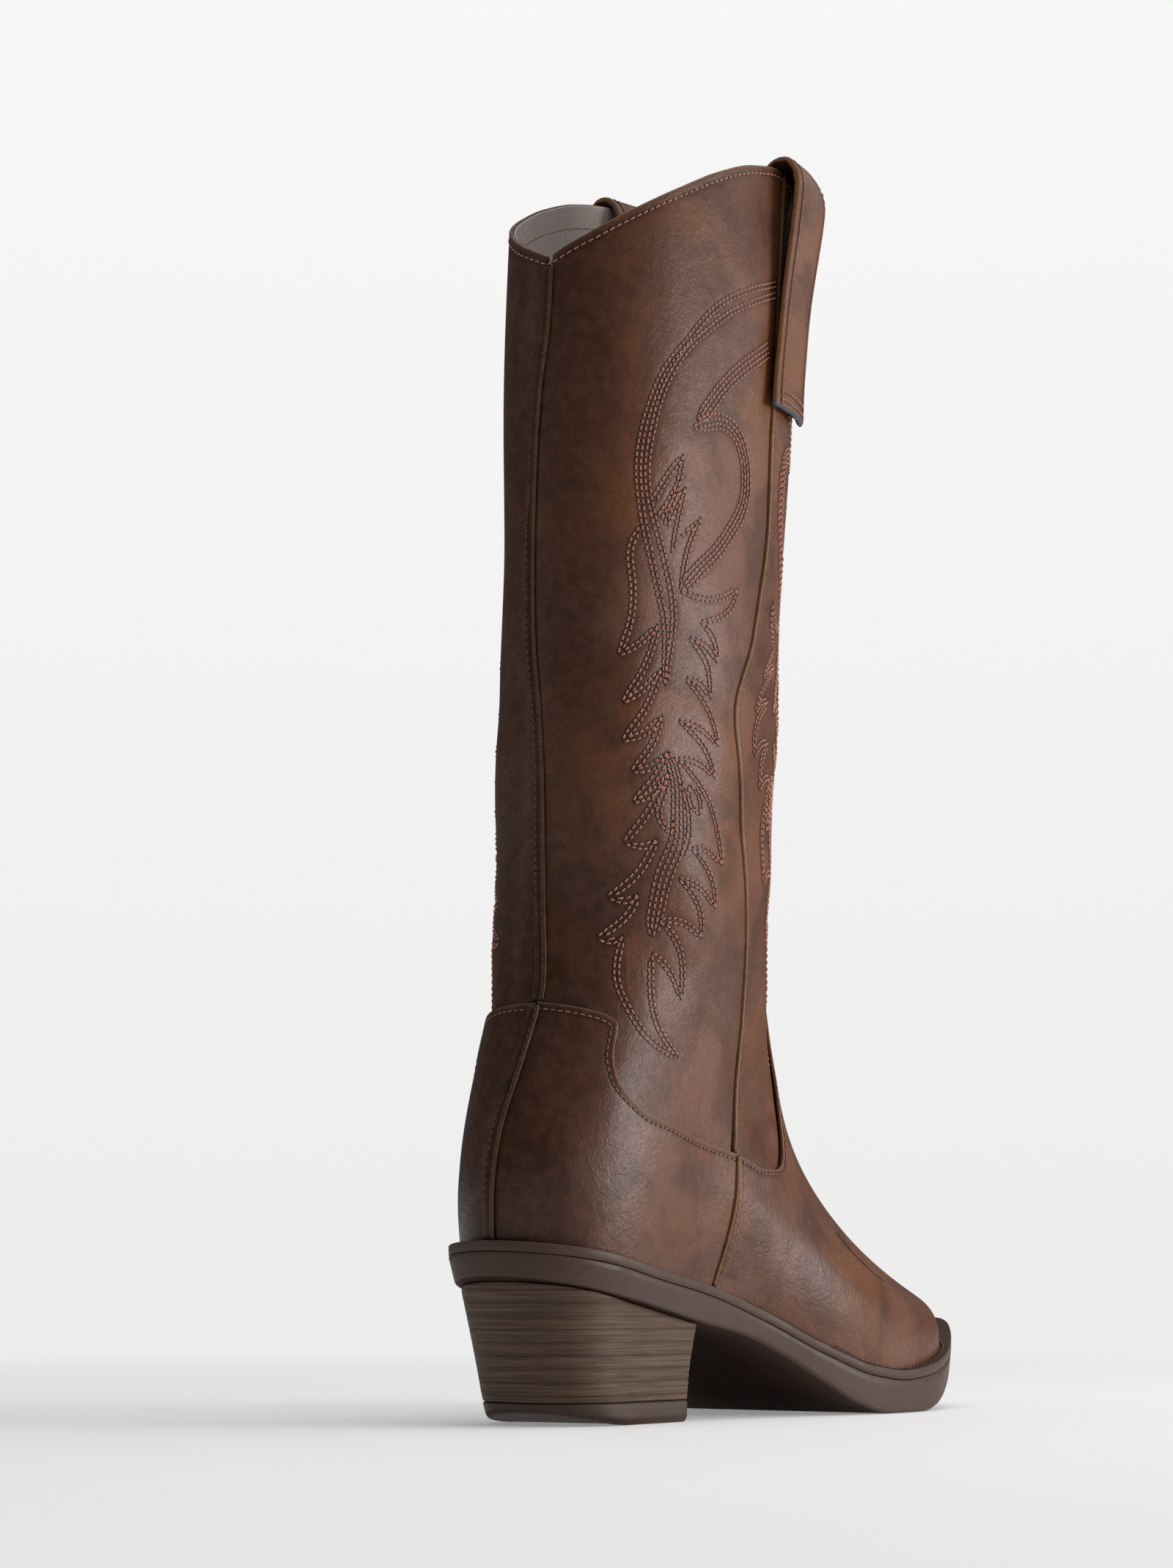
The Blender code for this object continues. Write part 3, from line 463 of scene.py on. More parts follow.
def leather_piece(name, ends, low, high, level, thickness, look, slot, *nodes, closed=False,
                  bead=0.0, bead_width=2.2 * MM, folded="t", pitch=None, coarse=5, rows=None,
                  inward=False):
    """Piece of the upper between two seams and two edges, with rounded edges,
    a bead where an edge is folded, and dips where it is stitched."""
    pitch = pitch or PITCH
    u = around_lines(*ends, high, pitch, closed)
    top, bottom = high(u), low(u)
    share = with_edges(float(np.mean(top - bottom)) * 1.05, pitch)
    v = bottom[None] + (top - bottom)[None] * share[:, None]
    u = np.broadcast_to(u, v.shape)
    p, n = surface(u, v)
    edge = edge_distance(p, closed)
    hem = edge_distance(p, closed, which=folded) if bead else edge + 9
    raised = bead * 0.5 * (1 - np.tanh((hem - bead_width) / (0.4 * MM)))
    stitched = np.full(v.shape, 9.0)
    if rows is not None:
        stitched = distances(rows, p.reshape(-1, 3)).reshape(v.shape)
    dip = 0.17 * MM * np.exp(-(stitched / (.9 * MM))**2)
    out = -1 if inward else 1
    height = level + (raised - dip - rounding(edge, thickness * 0.6)) * out
    outer = p + n * (height * CM)[..., None]
    count_v, count_u = v.shape
    every_row, every_column = coarse_grid(count_v, count_u, coarse, closed)
    back = np.ix_(every_row, every_column)
    inner = p[back] + n[back] * ((level - thickness * out) * CM)
    grow = np.exp(-(hem / (bead_width * .8))**4)
    marks = {"edge": np.concatenate([grow.ravel(), np.zeros(inner[..., 0].size)]),
             # darker near stitch rows: partly pressed leather, partly painted shade of the stitch
             # channels
             "stitched": np.concatenate([np.exp(-(stitched / (1.0 * MM))**2).ravel(),
                                         np.zeros(inner[..., 0].size)]),
             # rubbed finish together with painted shade
             "rub_and_shade": np.concatenate([rub_and_shade(u, v).ravel(), rub_and_shade(u[back], v[back]).ravel()])}
    points = np.vstack([outer.reshape(-1, 3), inner.reshape(-1, 3)])
    faces = shell_faces(count_v, count_u, every_row, every_column, closed)
    if inward:
        faces = [face[:, ::-1] for face in faces]
    return new_piece(name, points, faces, look, slot, *nodes, marks=marks)


def rub_and_shade(u, v):
    """Rubbed finish and painted shade: 1 lightest (front and outer side, where the light falls), 0
    darkest (back, in shade).
    """
    u = np.mod(u, 1.0)
    f = fold(u)
    light = smooth([(0, .12), (.05, .3), (.12, .62), (.2, .92), (.27, 1), (.4, .9), (.5, .8)], f)
    # painted shade: the inner side, away from the light, is made darker
    inner_side = np.where(u > 0.5, 0.72, 1.0)
    # painted shade low at the back of the heel
    heel = 1 - 0.55 * np.exp(-((f - .02) / .05)**2 - ((v - 3) / 4)**2)
    return light * inner_side * heel


# ---- thread -------------------------------------------------------------------
def curve_through(knots, step=0.5 * MM):
    """Points every step (cm) along a smooth curve in (u, v)."""
    knots = np.asarray(knots, float)
    run = run_along(knots * np.array([GIRTH, 1.0]))
    t = np.linspace(0, run[-1], max(3, int(run[-1] / step)))
    if len(knots) == 2:
        return knots[0] + (knots[1] - knots[0]) * (t / run[-1])[:, None]
    return spline_weights(run, t) @ knots


def beside(line, offset):
    """Line in (u, v) moved sideways by an offset (cm), measured on the boot."""
    u, v = line[:, 0], line[:, 1]
    e = 1e-3
    across = form(settled(u + e, v), v) - form(settled(u - e, v), v)
    wide = np.linalg.norm(across, axis=1) / (2 * e)
    tall = np.linalg.norm(form(u, v + 10 * e) - form(u, v - 10 * e), axis=1) / (20 * e)
    along = np.gradient(line, axis=0) * np.stack([wide, tall], 1)
    along /= np.linalg.norm(along, axis=1, keepdims=True)
    sideways = np.stack([-along[:, 1] / wide, along[:, 0] / tall], 1)
    return line + sideways * np.reshape(offset, (-1, 1))


def stitch_ends(p, n, pitch):
    """Needle holes along a line of points, evenly spaced."""
    run = run_along(p) / CM
    count = max(2, round(run[-1] / pitch) + 1)
    t = np.linspace(0, run[-1], count)
    return (np.stack([np.interp(t, run, p[:, k]) for k in range(3)], 1),
            np.stack([np.interp(t, run, n[:, k]) for k in range(3)], 1))


THREAD_RINGS = [(0, .15, -.22), (.2, .27, .1), (.5, .31, .24), (.8, .27, .1), (1, .15, -.22)]


def thread_mesh(lines, pitch, thick, slant=0.13):
    """Stitches over the lines (points, normals): each a small plump bridge."""
    first, last, normal = [], [], []
    for p, n in lines:
        holes, ways = stitch_ends(p, n, pitch)
        first.append(holes[:-1])
        last.append(holes[1:])
        normal.append((ways[:-1] + ways[1:]) / 2)
    a, b, n = (np.vstack(x) for x in (first, last, normal))
    along = b - a
    length = np.linalg.norm(along, axis=1, keepdims=True)
    along = along / length
    side = np.cross(n, along)
    turn = slant * length * 0.5
    a, b = a - side * turn * 0.5, b + side * turn * 0.5
    a, b = a + (b - a) * 0.08, b - (b - a) * 0.08
    points = []
    for t, r, h in THREAD_RINGS:
        centre = a + (b - a) * t + n * (h * thick * MM * CM)
        for angle in np.arange(5) / 5 * 2 * math.pi:
            points.append(centre + (side * math.cos(angle) * 1.05 + n * math.sin(angle) * 0.8)
                          * (r * thick * MM * CM))
    points = np.stack(points, 1)
    count = len(a)
    local = grid_faces(len(THREAD_RINGS), 5, closed=True)
    offset = (np.arange(count) * points.shape[1])[:, None, None]
    quads = (local[None] + offset).reshape(-1, 4)
    start = np.arange(5)[::-1][None] + offset[:, 0]
    stop = np.arange(len(THREAD_RINGS) * 5 - 5, len(THREAD_RINGS) * 5)[None] + offset[:, 0]
    shade = np.repeat(np.random.default_rng(5).random(count), points.shape[1])
    return points.reshape(-1, 3), [quads, start, stop], shade


def hole_mesh(lines, pitch, radius):
    """Small dark bead that stands for each needle hole: painted shade of the hole."""
    centres, ways = zip(*[stitch_ends(p, n, pitch) for p, n in lines])
    c, n = np.vstack(centres), np.vstack(ways)
    x = np.cross(n, np.array([0.21, 0.35, 0.91]))
    x /= np.linalg.norm(x, axis=1, keepdims=True)
    y = np.cross(n, x)
    r = radius * CM
    points = [c + (x * math.cos(t) + y * math.sin(t)) * r for t in np.arange(5) / 5 * 2 * math.pi]
    points = np.stack(points + [c + n * r * 0.25, c - n * r * 0.6], 1)
    ring = np.arange(5)
    top = np.stack([ring, (ring + 1) % 5, np.full(5, 5)], 1)
    local = np.vstack([top, np.stack([(ring + 1) % 5, ring, np.full(5, 6)], 1)])
    faces = (local[None] + (np.arange(len(c)) * 7)[:, None, None]).reshape(-1, 3)
    return points.reshape(-1, 3), [faces]


def sew(name, lines, thread, slot, pitch=2.3 * MM, thick=1.0, hole=0.44 * MM):
    """Rows of stitches and their needle holes; lines are (points, normals), thread
    is the name of a look."""
    points, faces, shade = thread_mesh(lines, pitch, thick)
    new_piece(name, points, faces, LOOKS[thread], slot, marks={"shade": shade})
    # needle holes: dark beads that paint the shade inside each hole
    points, faces = hole_mesh(lines, pitch, hole)
    new_piece(name + "_hole_shade", points, faces, LOOKS["hole"], slot)


def laid(lines, level):
    """Lines in (u, v) laid on the leather at a level, as points and normals."""
    out = []
    for line in lines:
        p, n = surface(line[:, 0], line[:, 1])
        out.append((p + n * (level * CM), n))
    return out


def mirrored(lines):
    return [np.stack([1 - line[:, 0], line[:, 1]], 1) for line in lines]


# ---- the stitched pattern: a is the share from the back (or front) seam to the side seam
# ribbons: control points (a, v), how far each row lies from the middle (mm), and which
# of the two ends come to a point
PAIR, FOUR = (-.85, .85), (-2.6, -.87, .87, 2.6)
END, BOTH = (False, True), (True, True)
RIBBONS = [
    ([(.97, 34.1), (.81, 33.3), (.7, 32.5), (.63, 31.7), (.57, 30.8), (.51, 29.8), (.475, 28.8),
      (.45, 27.8), (.435, 26.9), (.43, 26), (.44, 25.1), (.46, 24.2), (.49, 23.3), (.53, 22.3),
      (.57, 21.4), (.6, 20.5), (.62, 19.6), (.635, 18.9)], PAIR, END),
    ([(.97, 33.7), (.84, 33), (.73, 32.2), (.65, 31.4), (.58, 30.6), (.53, 29.6), (.5, 28.7),
      (.48, 27.7), (.465, 26.8), (.46, 26), (.475, 25), (.51, 24), (.56, 22.8), (.6, 21.8),
      (.62, 20.9), (.63, 19.9), (.64, 18.9)], PAIR, END),
    ([(.94, 31.6), (.83, 30.7), (.75, 29.8), (.69, 28.9), (.64, 28.1)], FOUR, END),
    ([(.62, 27.9), (.68, 28.2), (.74, 28.4), (.81, 28.2), (.85, 27.6), (.865, 26.6), (.845, 25.6),
      (.79, 24.6), (.74, 23.8), (.68, 23.1), (.64, 22.5), (.62, 22.2)], FOUR, BOTH),
    ([(.45, 24.2), (.42, 23.4), (.435, 22.5), (.45, 21.5), (.44, 20.5), (.42, 19.8)], PAIR, BOTH),
    ([(.62, 22.2), (.7, 22.1), (.78, 22.25), (.86, 22.8)], PAIR, BOTH),
    ([(.86, 22.8), (.85, 22.2), (.8, 21.6), (.72, 21.3)], PAIR, BOTH),
    ([(.49, 25.2), (.53, 26), (.59, 26.9)], PAIR, END),
    ([(.59, 26.9), (.57, 25.8), (.53, 24.3)], PAIR, BOTH),
    ([(.51, 24.6), (.56, 25.6), (.575, 26)], PAIR, END),
    ([(.54, 24.3), (.56, 25), (.6, 25.8)], PAIR, BOTH),
    ([(.6, 25.8), (.58, 24.7), (.57, 23.4)], PAIR, BOTH),
    ([(.59, 24.1), (.63, 24.4), (.67, 24.9)], PAIR, BOTH),
    ([(.67, 24.9), (.63, 23.8), (.62, 22.4)], PAIR, BOTH),
    ([(.63, 16.7), (.65, 15.7), (.63, 14.7), (.58, 13.7), (.49, 12.8), (.42, 11.9), (.385, 11.2),
      (.37, 10.6)], FOUR, BOTH),
    ([(.62, 16), (.57, 15.1), (.54, 14.3), (.56, 14.1), (.6, 14.5)], PAIR, BOTH),
    ([(.66, 15.9), (.685, 15), (.66, 14.1), (.58, 13.2)], PAIR, BOTH),
    ([(.71, 15.7), (.75, 15.3), (.74, 14.7)], PAIR, BOTH),
    ([(.71, 15.7), (.7, 15.1), (.74, 14.7)], PAIR, BOTH),
    ([(.26, 10.6), (.24, 9.8), (.25, 8.9), (.3, 8.2), (.39, 7.5), (.5, 7.2), (.62, 7.15)], PAIR,
     BOTH),
    ([(.62, 7.15), (.49, 7.6), (.41, 8.3), (.38, 9.2), (.37, 10.1)], PAIR, BOTH),
]
# chains of leaf tips down either side, outer tip and inner tip in turn
OUTER_LEAVES = [(.42, 19.8), (.56, 21), (.45, 18.2), (.61, 19.5), (.44, 16.9), (.62, 17.9),
                (.46, 15.9), (.63, 16.7), (.44, 14.9), (.62, 16), (.35, 13.6), (.5, 13.8),
                (.22, 11.8), (.34, 12), (.17, 10.4), (.26, 10.6)]
INNER_LEAVES = [(.72, 21.3), (.84, 20), (.69, 20.7), (.85, 18.7), (.72, 19.3), (.87, 17.1),
                (.69, 17.8), (.84, 16), (.67, 16.5), (.82, 13.2), (.65, 13.6), (.74, 11.8),
                (.54, 12.6), (.64, 10.8), (.41, 11.2), (.56, 8.8), (.37, 10.1)]


def leaf_chain(tips, lift, bulge, long_first):
    """Bowed double strokes from tip to tip: long ones bulge outward, short ones lift."""
    strokes = []
    for i, (a, b) in enumerate(zip(tips, tips[1:])):
        a, b = np.array(a), np.array(b)
        long = (i % 2 == 0) == long_first
        middle = (a + b) / 2 + np.array((bulge * abs(a[1] - b[1]), 0) if long else (0, lift))
        strokes.append(([a, middle, b], PAIR, BOTH))
    return strokes


def pattern(start, width):
    """The whole motif, from a seam at start across a panel of a signed width (share)."""
    lines = []
    for knots, rows, ends in (RIBBONS + leaf_chain(OUTER_LEAVES, -.2, .012, False)
                              + leaf_chain(INNER_LEAVES, .2, .021, True)):
        middle = curve_through([(start + width * a, v) for a, v in knots])
        reach = np.arange(len(middle)) * .5 * MM
        close = np.minimum(reach if ends[0] else 9, reach[::-1] if ends[1] else 9)
        narrow = .3 + .7 * np.clip(close / .45, 0, 1)         # the rows draw together at a tip
        for k, r in enumerate(rows):
            short = 5 if k % 2 else 1                         # and only one reaches it
            cut = slice(short if ends[0] else 0, -short if ends[1] else None)
            lines.append(beside(middle, r * MM * narrow)[cut])
    return lines


# ---- materials ------------------------------------------------------------------
class Look:
    """Node tree of one material, built step by step."""

    def __init__(self, name):
        self.made = bpy.data.materials.new(name)
        self.made.use_nodes = True
        self.tree = self.made.node_tree
        self.shader = self.tree.nodes["Principled BSDF"]
        self.place = self.add("ShaderNodeTexCoord").outputs["Object"]

    def add(self, kind, **settings):
        node = self.tree.nodes.new(kind)
        for key, value in settings.items():
            setattr(node, key, value)
        return node

    def join(self, a, b):
        self.tree.links.new(a, b)

    def give(self, socket, value):
        """Feed a socket with another node's output, a number or a colour."""
        if hasattr(value, "is_output"):
            self.join(value, socket)
        elif isinstance(value, tuple):
            socket.default_value = (*value, 1)
        else:
            socket.default_value = value

    def stretched(self, scale, turn=(0, 0, 0)):
        node = self.add("ShaderNodeMapping")
        self.join(self.place, node.inputs["Vector"])
        node.inputs["Scale"].default_value = scale
        node.inputs["Rotation"].default_value = turn
        return node.outputs["Vector"]

    def noise(self, scale, detail=3.0, rough=0.55, bend=0.0, place=None):
        node = self.add("ShaderNodeTexNoise")
        self.join(place or self.place, node.inputs["Vector"])
        for key, value in (("Scale", scale), ("Detail", detail), ("Roughness", rough),
                           ("Distortion", bend)):
            node.inputs[key].default_value = value
        return node.outputs["Fac"]

    def cells(self, scale, feature="F1", place=None):
        node = self.add("ShaderNodeTexVoronoi", feature=feature)
        self.join(place or self.place, node.inputs["Vector"])
        node.inputs["Scale"].default_value = scale
        return node.outputs["Distance"]

    def ramp(self, value, low, high, out_low=0.0, out_high=1.0):
        node = self.add("ShaderNodeMapRange", interpolation_type="SMOOTHSTEP")
        for key, number in zip(("From Min", "From Max", "To Min", "To Max"),
                               (low, high, out_low, out_high)):
            node.inputs[key].default_value = number
        self.join(value, node.inputs["Value"])
        return node.outputs["Result"]

    def sum(self, a, b, operation="ADD"):
        node = self.add("ShaderNodeMath", operation=operation)
        self.give(node.inputs[0], a)
        self.give(node.inputs[1], b)
        return node.outputs[0]

    def mix(self, share, a, b, blend="MIX"):
        node = self.add("ShaderNodeMix", data_type="RGBA", blend_type=blend)
        for index, value in ((0, share), (6, a), (7, b)):       # 6 and 7 are the colours
            self.give(node.inputs[index], value)
        return node.outputs[2]

    def mark(self, name):
        return self.add("ShaderNodeAttribute", attribute_name=name).outputs["Fac"]

    def bump(self, height, distance, strength=1.0, under=None):
        node = self.add("ShaderNodeBump")
        node.inputs["Distance"].default_value = distance
        node.inputs["Strength"].default_value = strength
        self.join(height, node.inputs["Height"])
        if under:
            self.join(under, node.inputs["Normal"])
        return node.outputs["Normal"]

    def finish(self, colour, roughness, normal=None, **constants):
        self.give(self.shader.inputs["Base Color"], colour)
        self.give(self.shader.inputs["Roughness"], roughness)
        if normal:
            self.join(normal, self.shader.inputs["Normal"])
        for key, value in constants.items():
            self.shader.inputs[key.replace("_", " ")].default_value = value
        return self.made


def leather_look(name, rubbed, brown, orange, dark, edge_colour, gloss=0.0, frayed=False):
    """Burnished pull-up leather: rubbed lighter in clouds, with painted shade on the dim sides;
    darker at stitches and grooves, partly painted shade.
    """
    look = Look(name)
    cloud = look.ramp(look.noise(17, 4, .55, .5), .40, .62)
    blotch = look.ramp(look.noise(33, 3, .6, .7), .47, .64)
    warm = look.ramp(look.noise(23, 3, .5, .5, look.stretched((1, 1, .7), (.4, .2, .9))), .48, .63)
    speck = look.ramp(look.noise(1150, 2, .7), .3, .72)
    patch = look.noise(240, 3, .6)
    rub_and_shade_here = look.mark("rub_and_shade")
    # this mark is partly rubbed finish and partly painted shade: lighter where the light falls
    lighter = look.sum(look.ramp(cloud, 0, 1, .25, 1), rub_and_shade_here, "MULTIPLY")
    colour = look.mix(lighter, brown, rubbed)
    colour = look.mix(look.sum(warm, .8, "MULTIPLY"), colour, orange)
    shade = tuple(.5 * (a + b) for a, b in zip(dark, brown))
    colour = look.mix(look.sum(blotch, .62, "MULTIPLY"), colour, shade)
    # painted shade: where the mark is low (back, inner side, heel) the colour goes toward dark
    colour = look.mix(look.ramp(rub_and_shade_here, 0, .8, .8, 0), colour, dark)
    colour = look.mix(look.ramp(speck, 0, 1, .3, 0), colour, dark)
    colour = look.mix(look.ramp(patch, .35, .7, 0, .2), colour, rubbed)
    # darker at stitches and in seam grooves: partly pressed leather, partly painted shade of
    # channels and grooves
    stitched = look.sum(look.mark("stitched"), .5, "MULTIPLY")
    colour = look.mix(stitched, colour, tuple(c * .6 for c in dark))
    edge = look.sum(look.mark("edge"), look.ramp(look.noise(310, 3), .3, .62, .35, .9), "MULTIPLY")
    colour = look.mix(edge, colour, edge_colour)
    if frayed:
        lint = look.mix(look.noise(1700, 3, .7), (.035, .038, .042), (.095, .1, .108))
        colour = look.mix(look.mark("raw"), colour, lint)
    rough = look.ramp(look.sum(patch, speck), .5, 1.4, .45 - gloss, .34 - gloss)
    grain = look.sum(look.cells(1050, "SMOOTH_F1"), look.noise(1900, 2, .6), "ADD")
    wrinkle = look.noise(430, 3, .55, .5)
    normal = look.bump(grain, .00018, .42)
    normal = look.bump(wrinkle, .00035, .26, normal)
    normal = look.bump(look.noise(70, 3, .5), .0022, .22, normal)
    return look.finish(colour, rough, normal, Specular_IOR_Level=.17 + gloss, Coat_Weight=.02,
                       Coat_Roughness=.25)


def thread_look(name, colour, dark):
    look = Look(name)
    tint = look.mix(look.ramp(look.mark("shade"), 0, 1, 0, .55), colour, dark)
    fibre = look.noise(2600, 2, .7)
    tint = look.mix(look.ramp(fibre, .35, .7, .35, 0), tint, dark)
    return look.finish(tint, look.ramp(fibre, .3, .7, .5, .75), look.bump(fibre, .0002, .5),
                       Sheen_Weight=.08, Sheen_Roughness=.4, Specular_IOR_Level=.35)


# painted shade: near-black colour of the needle holes
def hole_shade_look():
    look = Look("needle_hole_shade")
    dust = look.noise(900, 2)
    return look.finish(look.mix(dust, (.012, .005, .003), (.03, .013, .008)),
                       look.ramp(dust, .3, .7, .8, .95), Specular_IOR_Level=.2)


def textile_look(name, colour, dark):
    """Close knitted lining."""
    look = Look(name)
    along = look.noise(1, 2, .5, 0, look.stretched((2200, 2200, 500)))
    across = look.noise(1, 2, .5, 0, look.stretched((500, 500, 2200)))
    weave = look.sum(along, across, "MULTIPLY")
    stain = look.ramp(look.noise(30, 3), .35, .7, 0, .5)
    tint = look.mix(look.ramp(weave, .14, .36, .5, 0), colour, dark)
    tint = look.mix(stain, tint, dark)
    return look.finish(tint, look.ramp(weave, .1, .4, .95, .8), look.bump(weave, .0004, .6),
                       Sheen_Weight=.2, Sheen_Roughness=.6, Specular_IOR_Level=.25)


def rubber_look(name, colour, dusty, scuff=.35, shine=.22):
    look = Look(name)
    dust = look.ramp(look.noise(34, 4, .6, .4), .35, .7)
    fine = look.noise(1400, 2, .6)
    line = look.noise(1, 3, .6, .3, look.stretched((60, 60, 700)))
    tint = look.mix(look.sum(dust, scuff, "MULTIPLY"), colour, dusty)
    tint = look.mix(look.ramp(fine, .35, .7, .2, 0), tint, (.03, .018, .014))
    tint = look.mix(look.ramp(line, .5, .7, 0, .18), tint, dusty)
    # painted shade: the under mark darkens the sole's underside toward near black
    tint = look.mix(look.sum(look.mark("under"), .75, "MULTIPLY"), tint, (.006, .003, .002))
    normal = look.bump(fine, .00015, .35)
    normal = look.bump(look.noise(120, 3, .6), .0006, .2, normal)
    rough = look.sum(look.ramp(look.sum(dust, fine), .5, 1.4, .46, .62),
                     look.sum(look.mark("under"), .35, "MULTIPLY"))
    return look.finish(tint, rough, normal, Specular_IOR_Level=shine)


def stacked_look():
    """Thin leather layers of the heel, seen edge on."""
    look = Look("stacked_leather")
    fine = look.noise(1, 4, .7, .2, look.stretched((40, 40, 2300)))
    layer = look.noise(1, 2, .5, 0, look.stretched((4, 4, 900)))
    wide = look.noise(24, 3, .5)
    tint = look.mix(look.ramp(fine, .3, .7), (.055, .032, .02), (.14, .09, .06))
    tint = look.mix(look.ramp(layer, .48, .62, 0, .45), tint, (.04, .023, .014))
    tint = look.mix(look.ramp(wide, .4, .7, 0, .25), tint, (.15, .1, .068))
    tint = look.mix(look.sum(look.mark("groove"), .8, "MULTIPLY"), tint, (.022, .013, .009))
    normal = look.bump(fine, .0005, .5)
    return look.finish(tint, look.ramp(fine, .3, .7, .62, .5), normal, Specular_IOR_Level=.16)


def board_look(name, colour, dark, scale=420, fleck=.5, shine=.5):
    look = Look(name)
    fibre = look.noise(scale, 4, .7, .5)
    tint = look.mix(look.ramp(fibre, .35, .7, fleck, 0), colour, dark)
    return look.finish(tint, look.ramp(fibre, .3, .7, .95, .8), look.bump(fibre, .0004, .5),
                       Specular_IOR_Level=shine)


def steel_look():
    look = Look("spring_steel")
    brushed = look.noise(1, 3, .6, 0, look.stretched((900, 60, 900)))
    tint = look.mix(brushed, (.42, .42, .43), (.6, .6, .6))
    return look.finish(tint, look.ramp(brushed, .3, .7, .28, .45), look.bump(brushed, .0001, .3),
                       Metallic=1.0)


# ---- upper ----------------------------------------------------------------------
def build_upper():
    shaft = LOOKS["shaft"]
    seam = 1.6 * MM / GIRTH                 # the leather stops short of a seam's groove
    side, front = SIDE_SEAM, 0.5 - SIDE_SEAM
    rows = pattern(0, side) + pattern(0.5, -front)
    rows += mirrored(rows)
    fine = np.linspace(-.5, .5, 400)
    hem = beside(np.stack([fine, top_line(fine)], 1), -2.9 * MM)
    tree = tree_of(np.vstack([p for p, _ in laid(rows + [hem], 0)]))

    def under_counter(u):
        return counter_top(u) - 0.7

    for name, ends in (("lateral", (.0035, side - seam)), ("medial", (-side + seam, -.0035))):
        leather_piece("shaft_back_" + name + "_leather", ends, under_counter, top_line, 0, LEATHER,
                      shaft, "shaft_leather", "shaft_back_" + name, bead=.12 * MM,
                      bead_width=.8 * MM, rows=tree)
    leather_piece("shaft_front_leather", (side + .0008, 1 - side - .0008),
                  lambda u: vamp_top(u) - 0.7, top_line, 0, LEATHER, shaft, "shaft_leather",
                  "shaft_front", bead=.12 * MM, bead_width=.8 * MM, rows=tree)
    sew("embroidery", laid(rows, -.1 * MM), "pink_thread", "shaft_leather", thick=1.15)
    sew("top_line_stitching", laid([hem], -.05 * MM), "pink_thread", "trim_leather",
        2.8 * MM, .9)
    build_foot()
    build_seams()


def build_foot():
    foot = LOOKS["foot"]
    seam = 1.3 * MM / FOOT_GIRTH
    u = np.linspace(-SIDE_SEAM, SIDE_SEAM, 1200)
    edge = beside(np.stack([u, counter_top(u)], 1), -2.4 * MM)
    edge = edge[np.abs(edge[:, 0]) < SIDE_SEAM - .004]
    w = np.linspace(SIDE_SEAM + .004, 1 - SIDE_SEAM - .004, 900)
    tongue = beside(np.stack([w, vamp_top(w)], 1), -2.0 * MM)
    instep = curve_through([(.381, 5.3), (.383, 4.75), (.392, 4.3), (.407, 4.0)])
    instep = [instep] + mirrored([instep])
    lines = [edge, tongue] + instep
    tree = tree_of(np.vstack([p for p, _ in laid(lines, 0)]))

    def low(u):
        return np.zeros_like(np.asarray(u, float))

    for name, ends in (("lateral", (.0012, SIDE_SEAM - seam)),
                       ("medial", (-SIDE_SEAM + seam, -.0012))):
        leather_piece("counter_" + name + "_leather", ends, low, counter_top, OVERLAY_LEVEL,
                      OVERLAY, foot, "foot_leather", "counter_" + name, bead=.3 * MM,
                      bead_width=1.0 * MM, rows=tree)
    leather_piece("vamp_leather", (SIDE_SEAM + .0004, 1 - SIDE_SEAM - .0004), low, vamp_top,
                  OVERLAY_LEVEL, OVERLAY, foot, "foot_leather", "vamp", bead=.18 * MM,
                  bead_width=.8 * MM, rows=tree)
    sew("counter_stitching", laid([edge], OVERLAY_LEVEL - .05 * MM), "tan_thread",
        "foot_leather", 2.5 * MM, .75)
    sew("vamp_stitching", laid([tongue], OVERLAY_LEVEL - .1 * MM), "tan_thread",
        "foot_leather", 2.3 * MM, .7)
    sew("instep_stitching", laid(instep, OVERLAY_LEVEL - .05 * MM), "dark_thread",
        "foot_leather", 3.0 * MM, 1.1)


def strip_along(name, line, section, look, slot, *nodes):
    """Strip laid along a line in (u, v), from section points like PIPING's."""
    p, n = surface(line[:, 0], line[:, 1])
    along = np.gradient(p, axis=0)
    along /= np.linalg.norm(along, axis=1, keepdims=True)
    side = np.cross(along, n)
    rings = [p + (side * x + n * y) * (MM * CM) for x, y, _ in section]
    rings = np.stack(rings, 1)
    count, around = rings.shape[:2]
    faces = [grid_faces(count, around, closed=True), np.arange(around)[::-1][None],
             np.arange((count - 1) * around, count * around)[None]]
    marks = {"edge": np.tile([max(e, 0) for _, _, e in section], count),
             # rubbed finish together with painted shade
             "rub_and_shade": np.repeat(rub_and_shade(line[:, 0], line[:, 1]), around),
             # painted shade where the strip lies in a groove (section points marked -1)
             "stitched": np.tile([2.0 if e < 0 else 0 for _, _, e in section], count)}
    new_piece(name, rings, faces, look, slot, *nodes, marks=marks)


# section points: across (toward the front of the boot) and level in mm, then the share of
# worn edge colour, or -1 where the strip lies in a groove and is painted dark as shade
PIPING = [(-2.6, -1.6, -1), (.9, -1.7, -1), (1.75, -1.0, 0), (1.9, -.2, .5), (1.75, .4, .9),
          (1.3, .72, 1), (.75, .74, 1), (.25, .45, .8), (-.05, -.1, 0), (-.35, -.85, -1),
          (-1.4, -1.1, -1), (-2.6, -1.15, -1)]
STRIP = [(-1.9, -.3, 0), (1.9, -.3, 0), (2.15, .1, .5), (1.9, .45, .5), (1.35, .5, .1),
         (.5, .3, 0), (0, .1, -1), (-.5, .3, 0), (-1.35, .5, 0), (-1.9, .45, .1),
         (-2.15, .1, .05)]


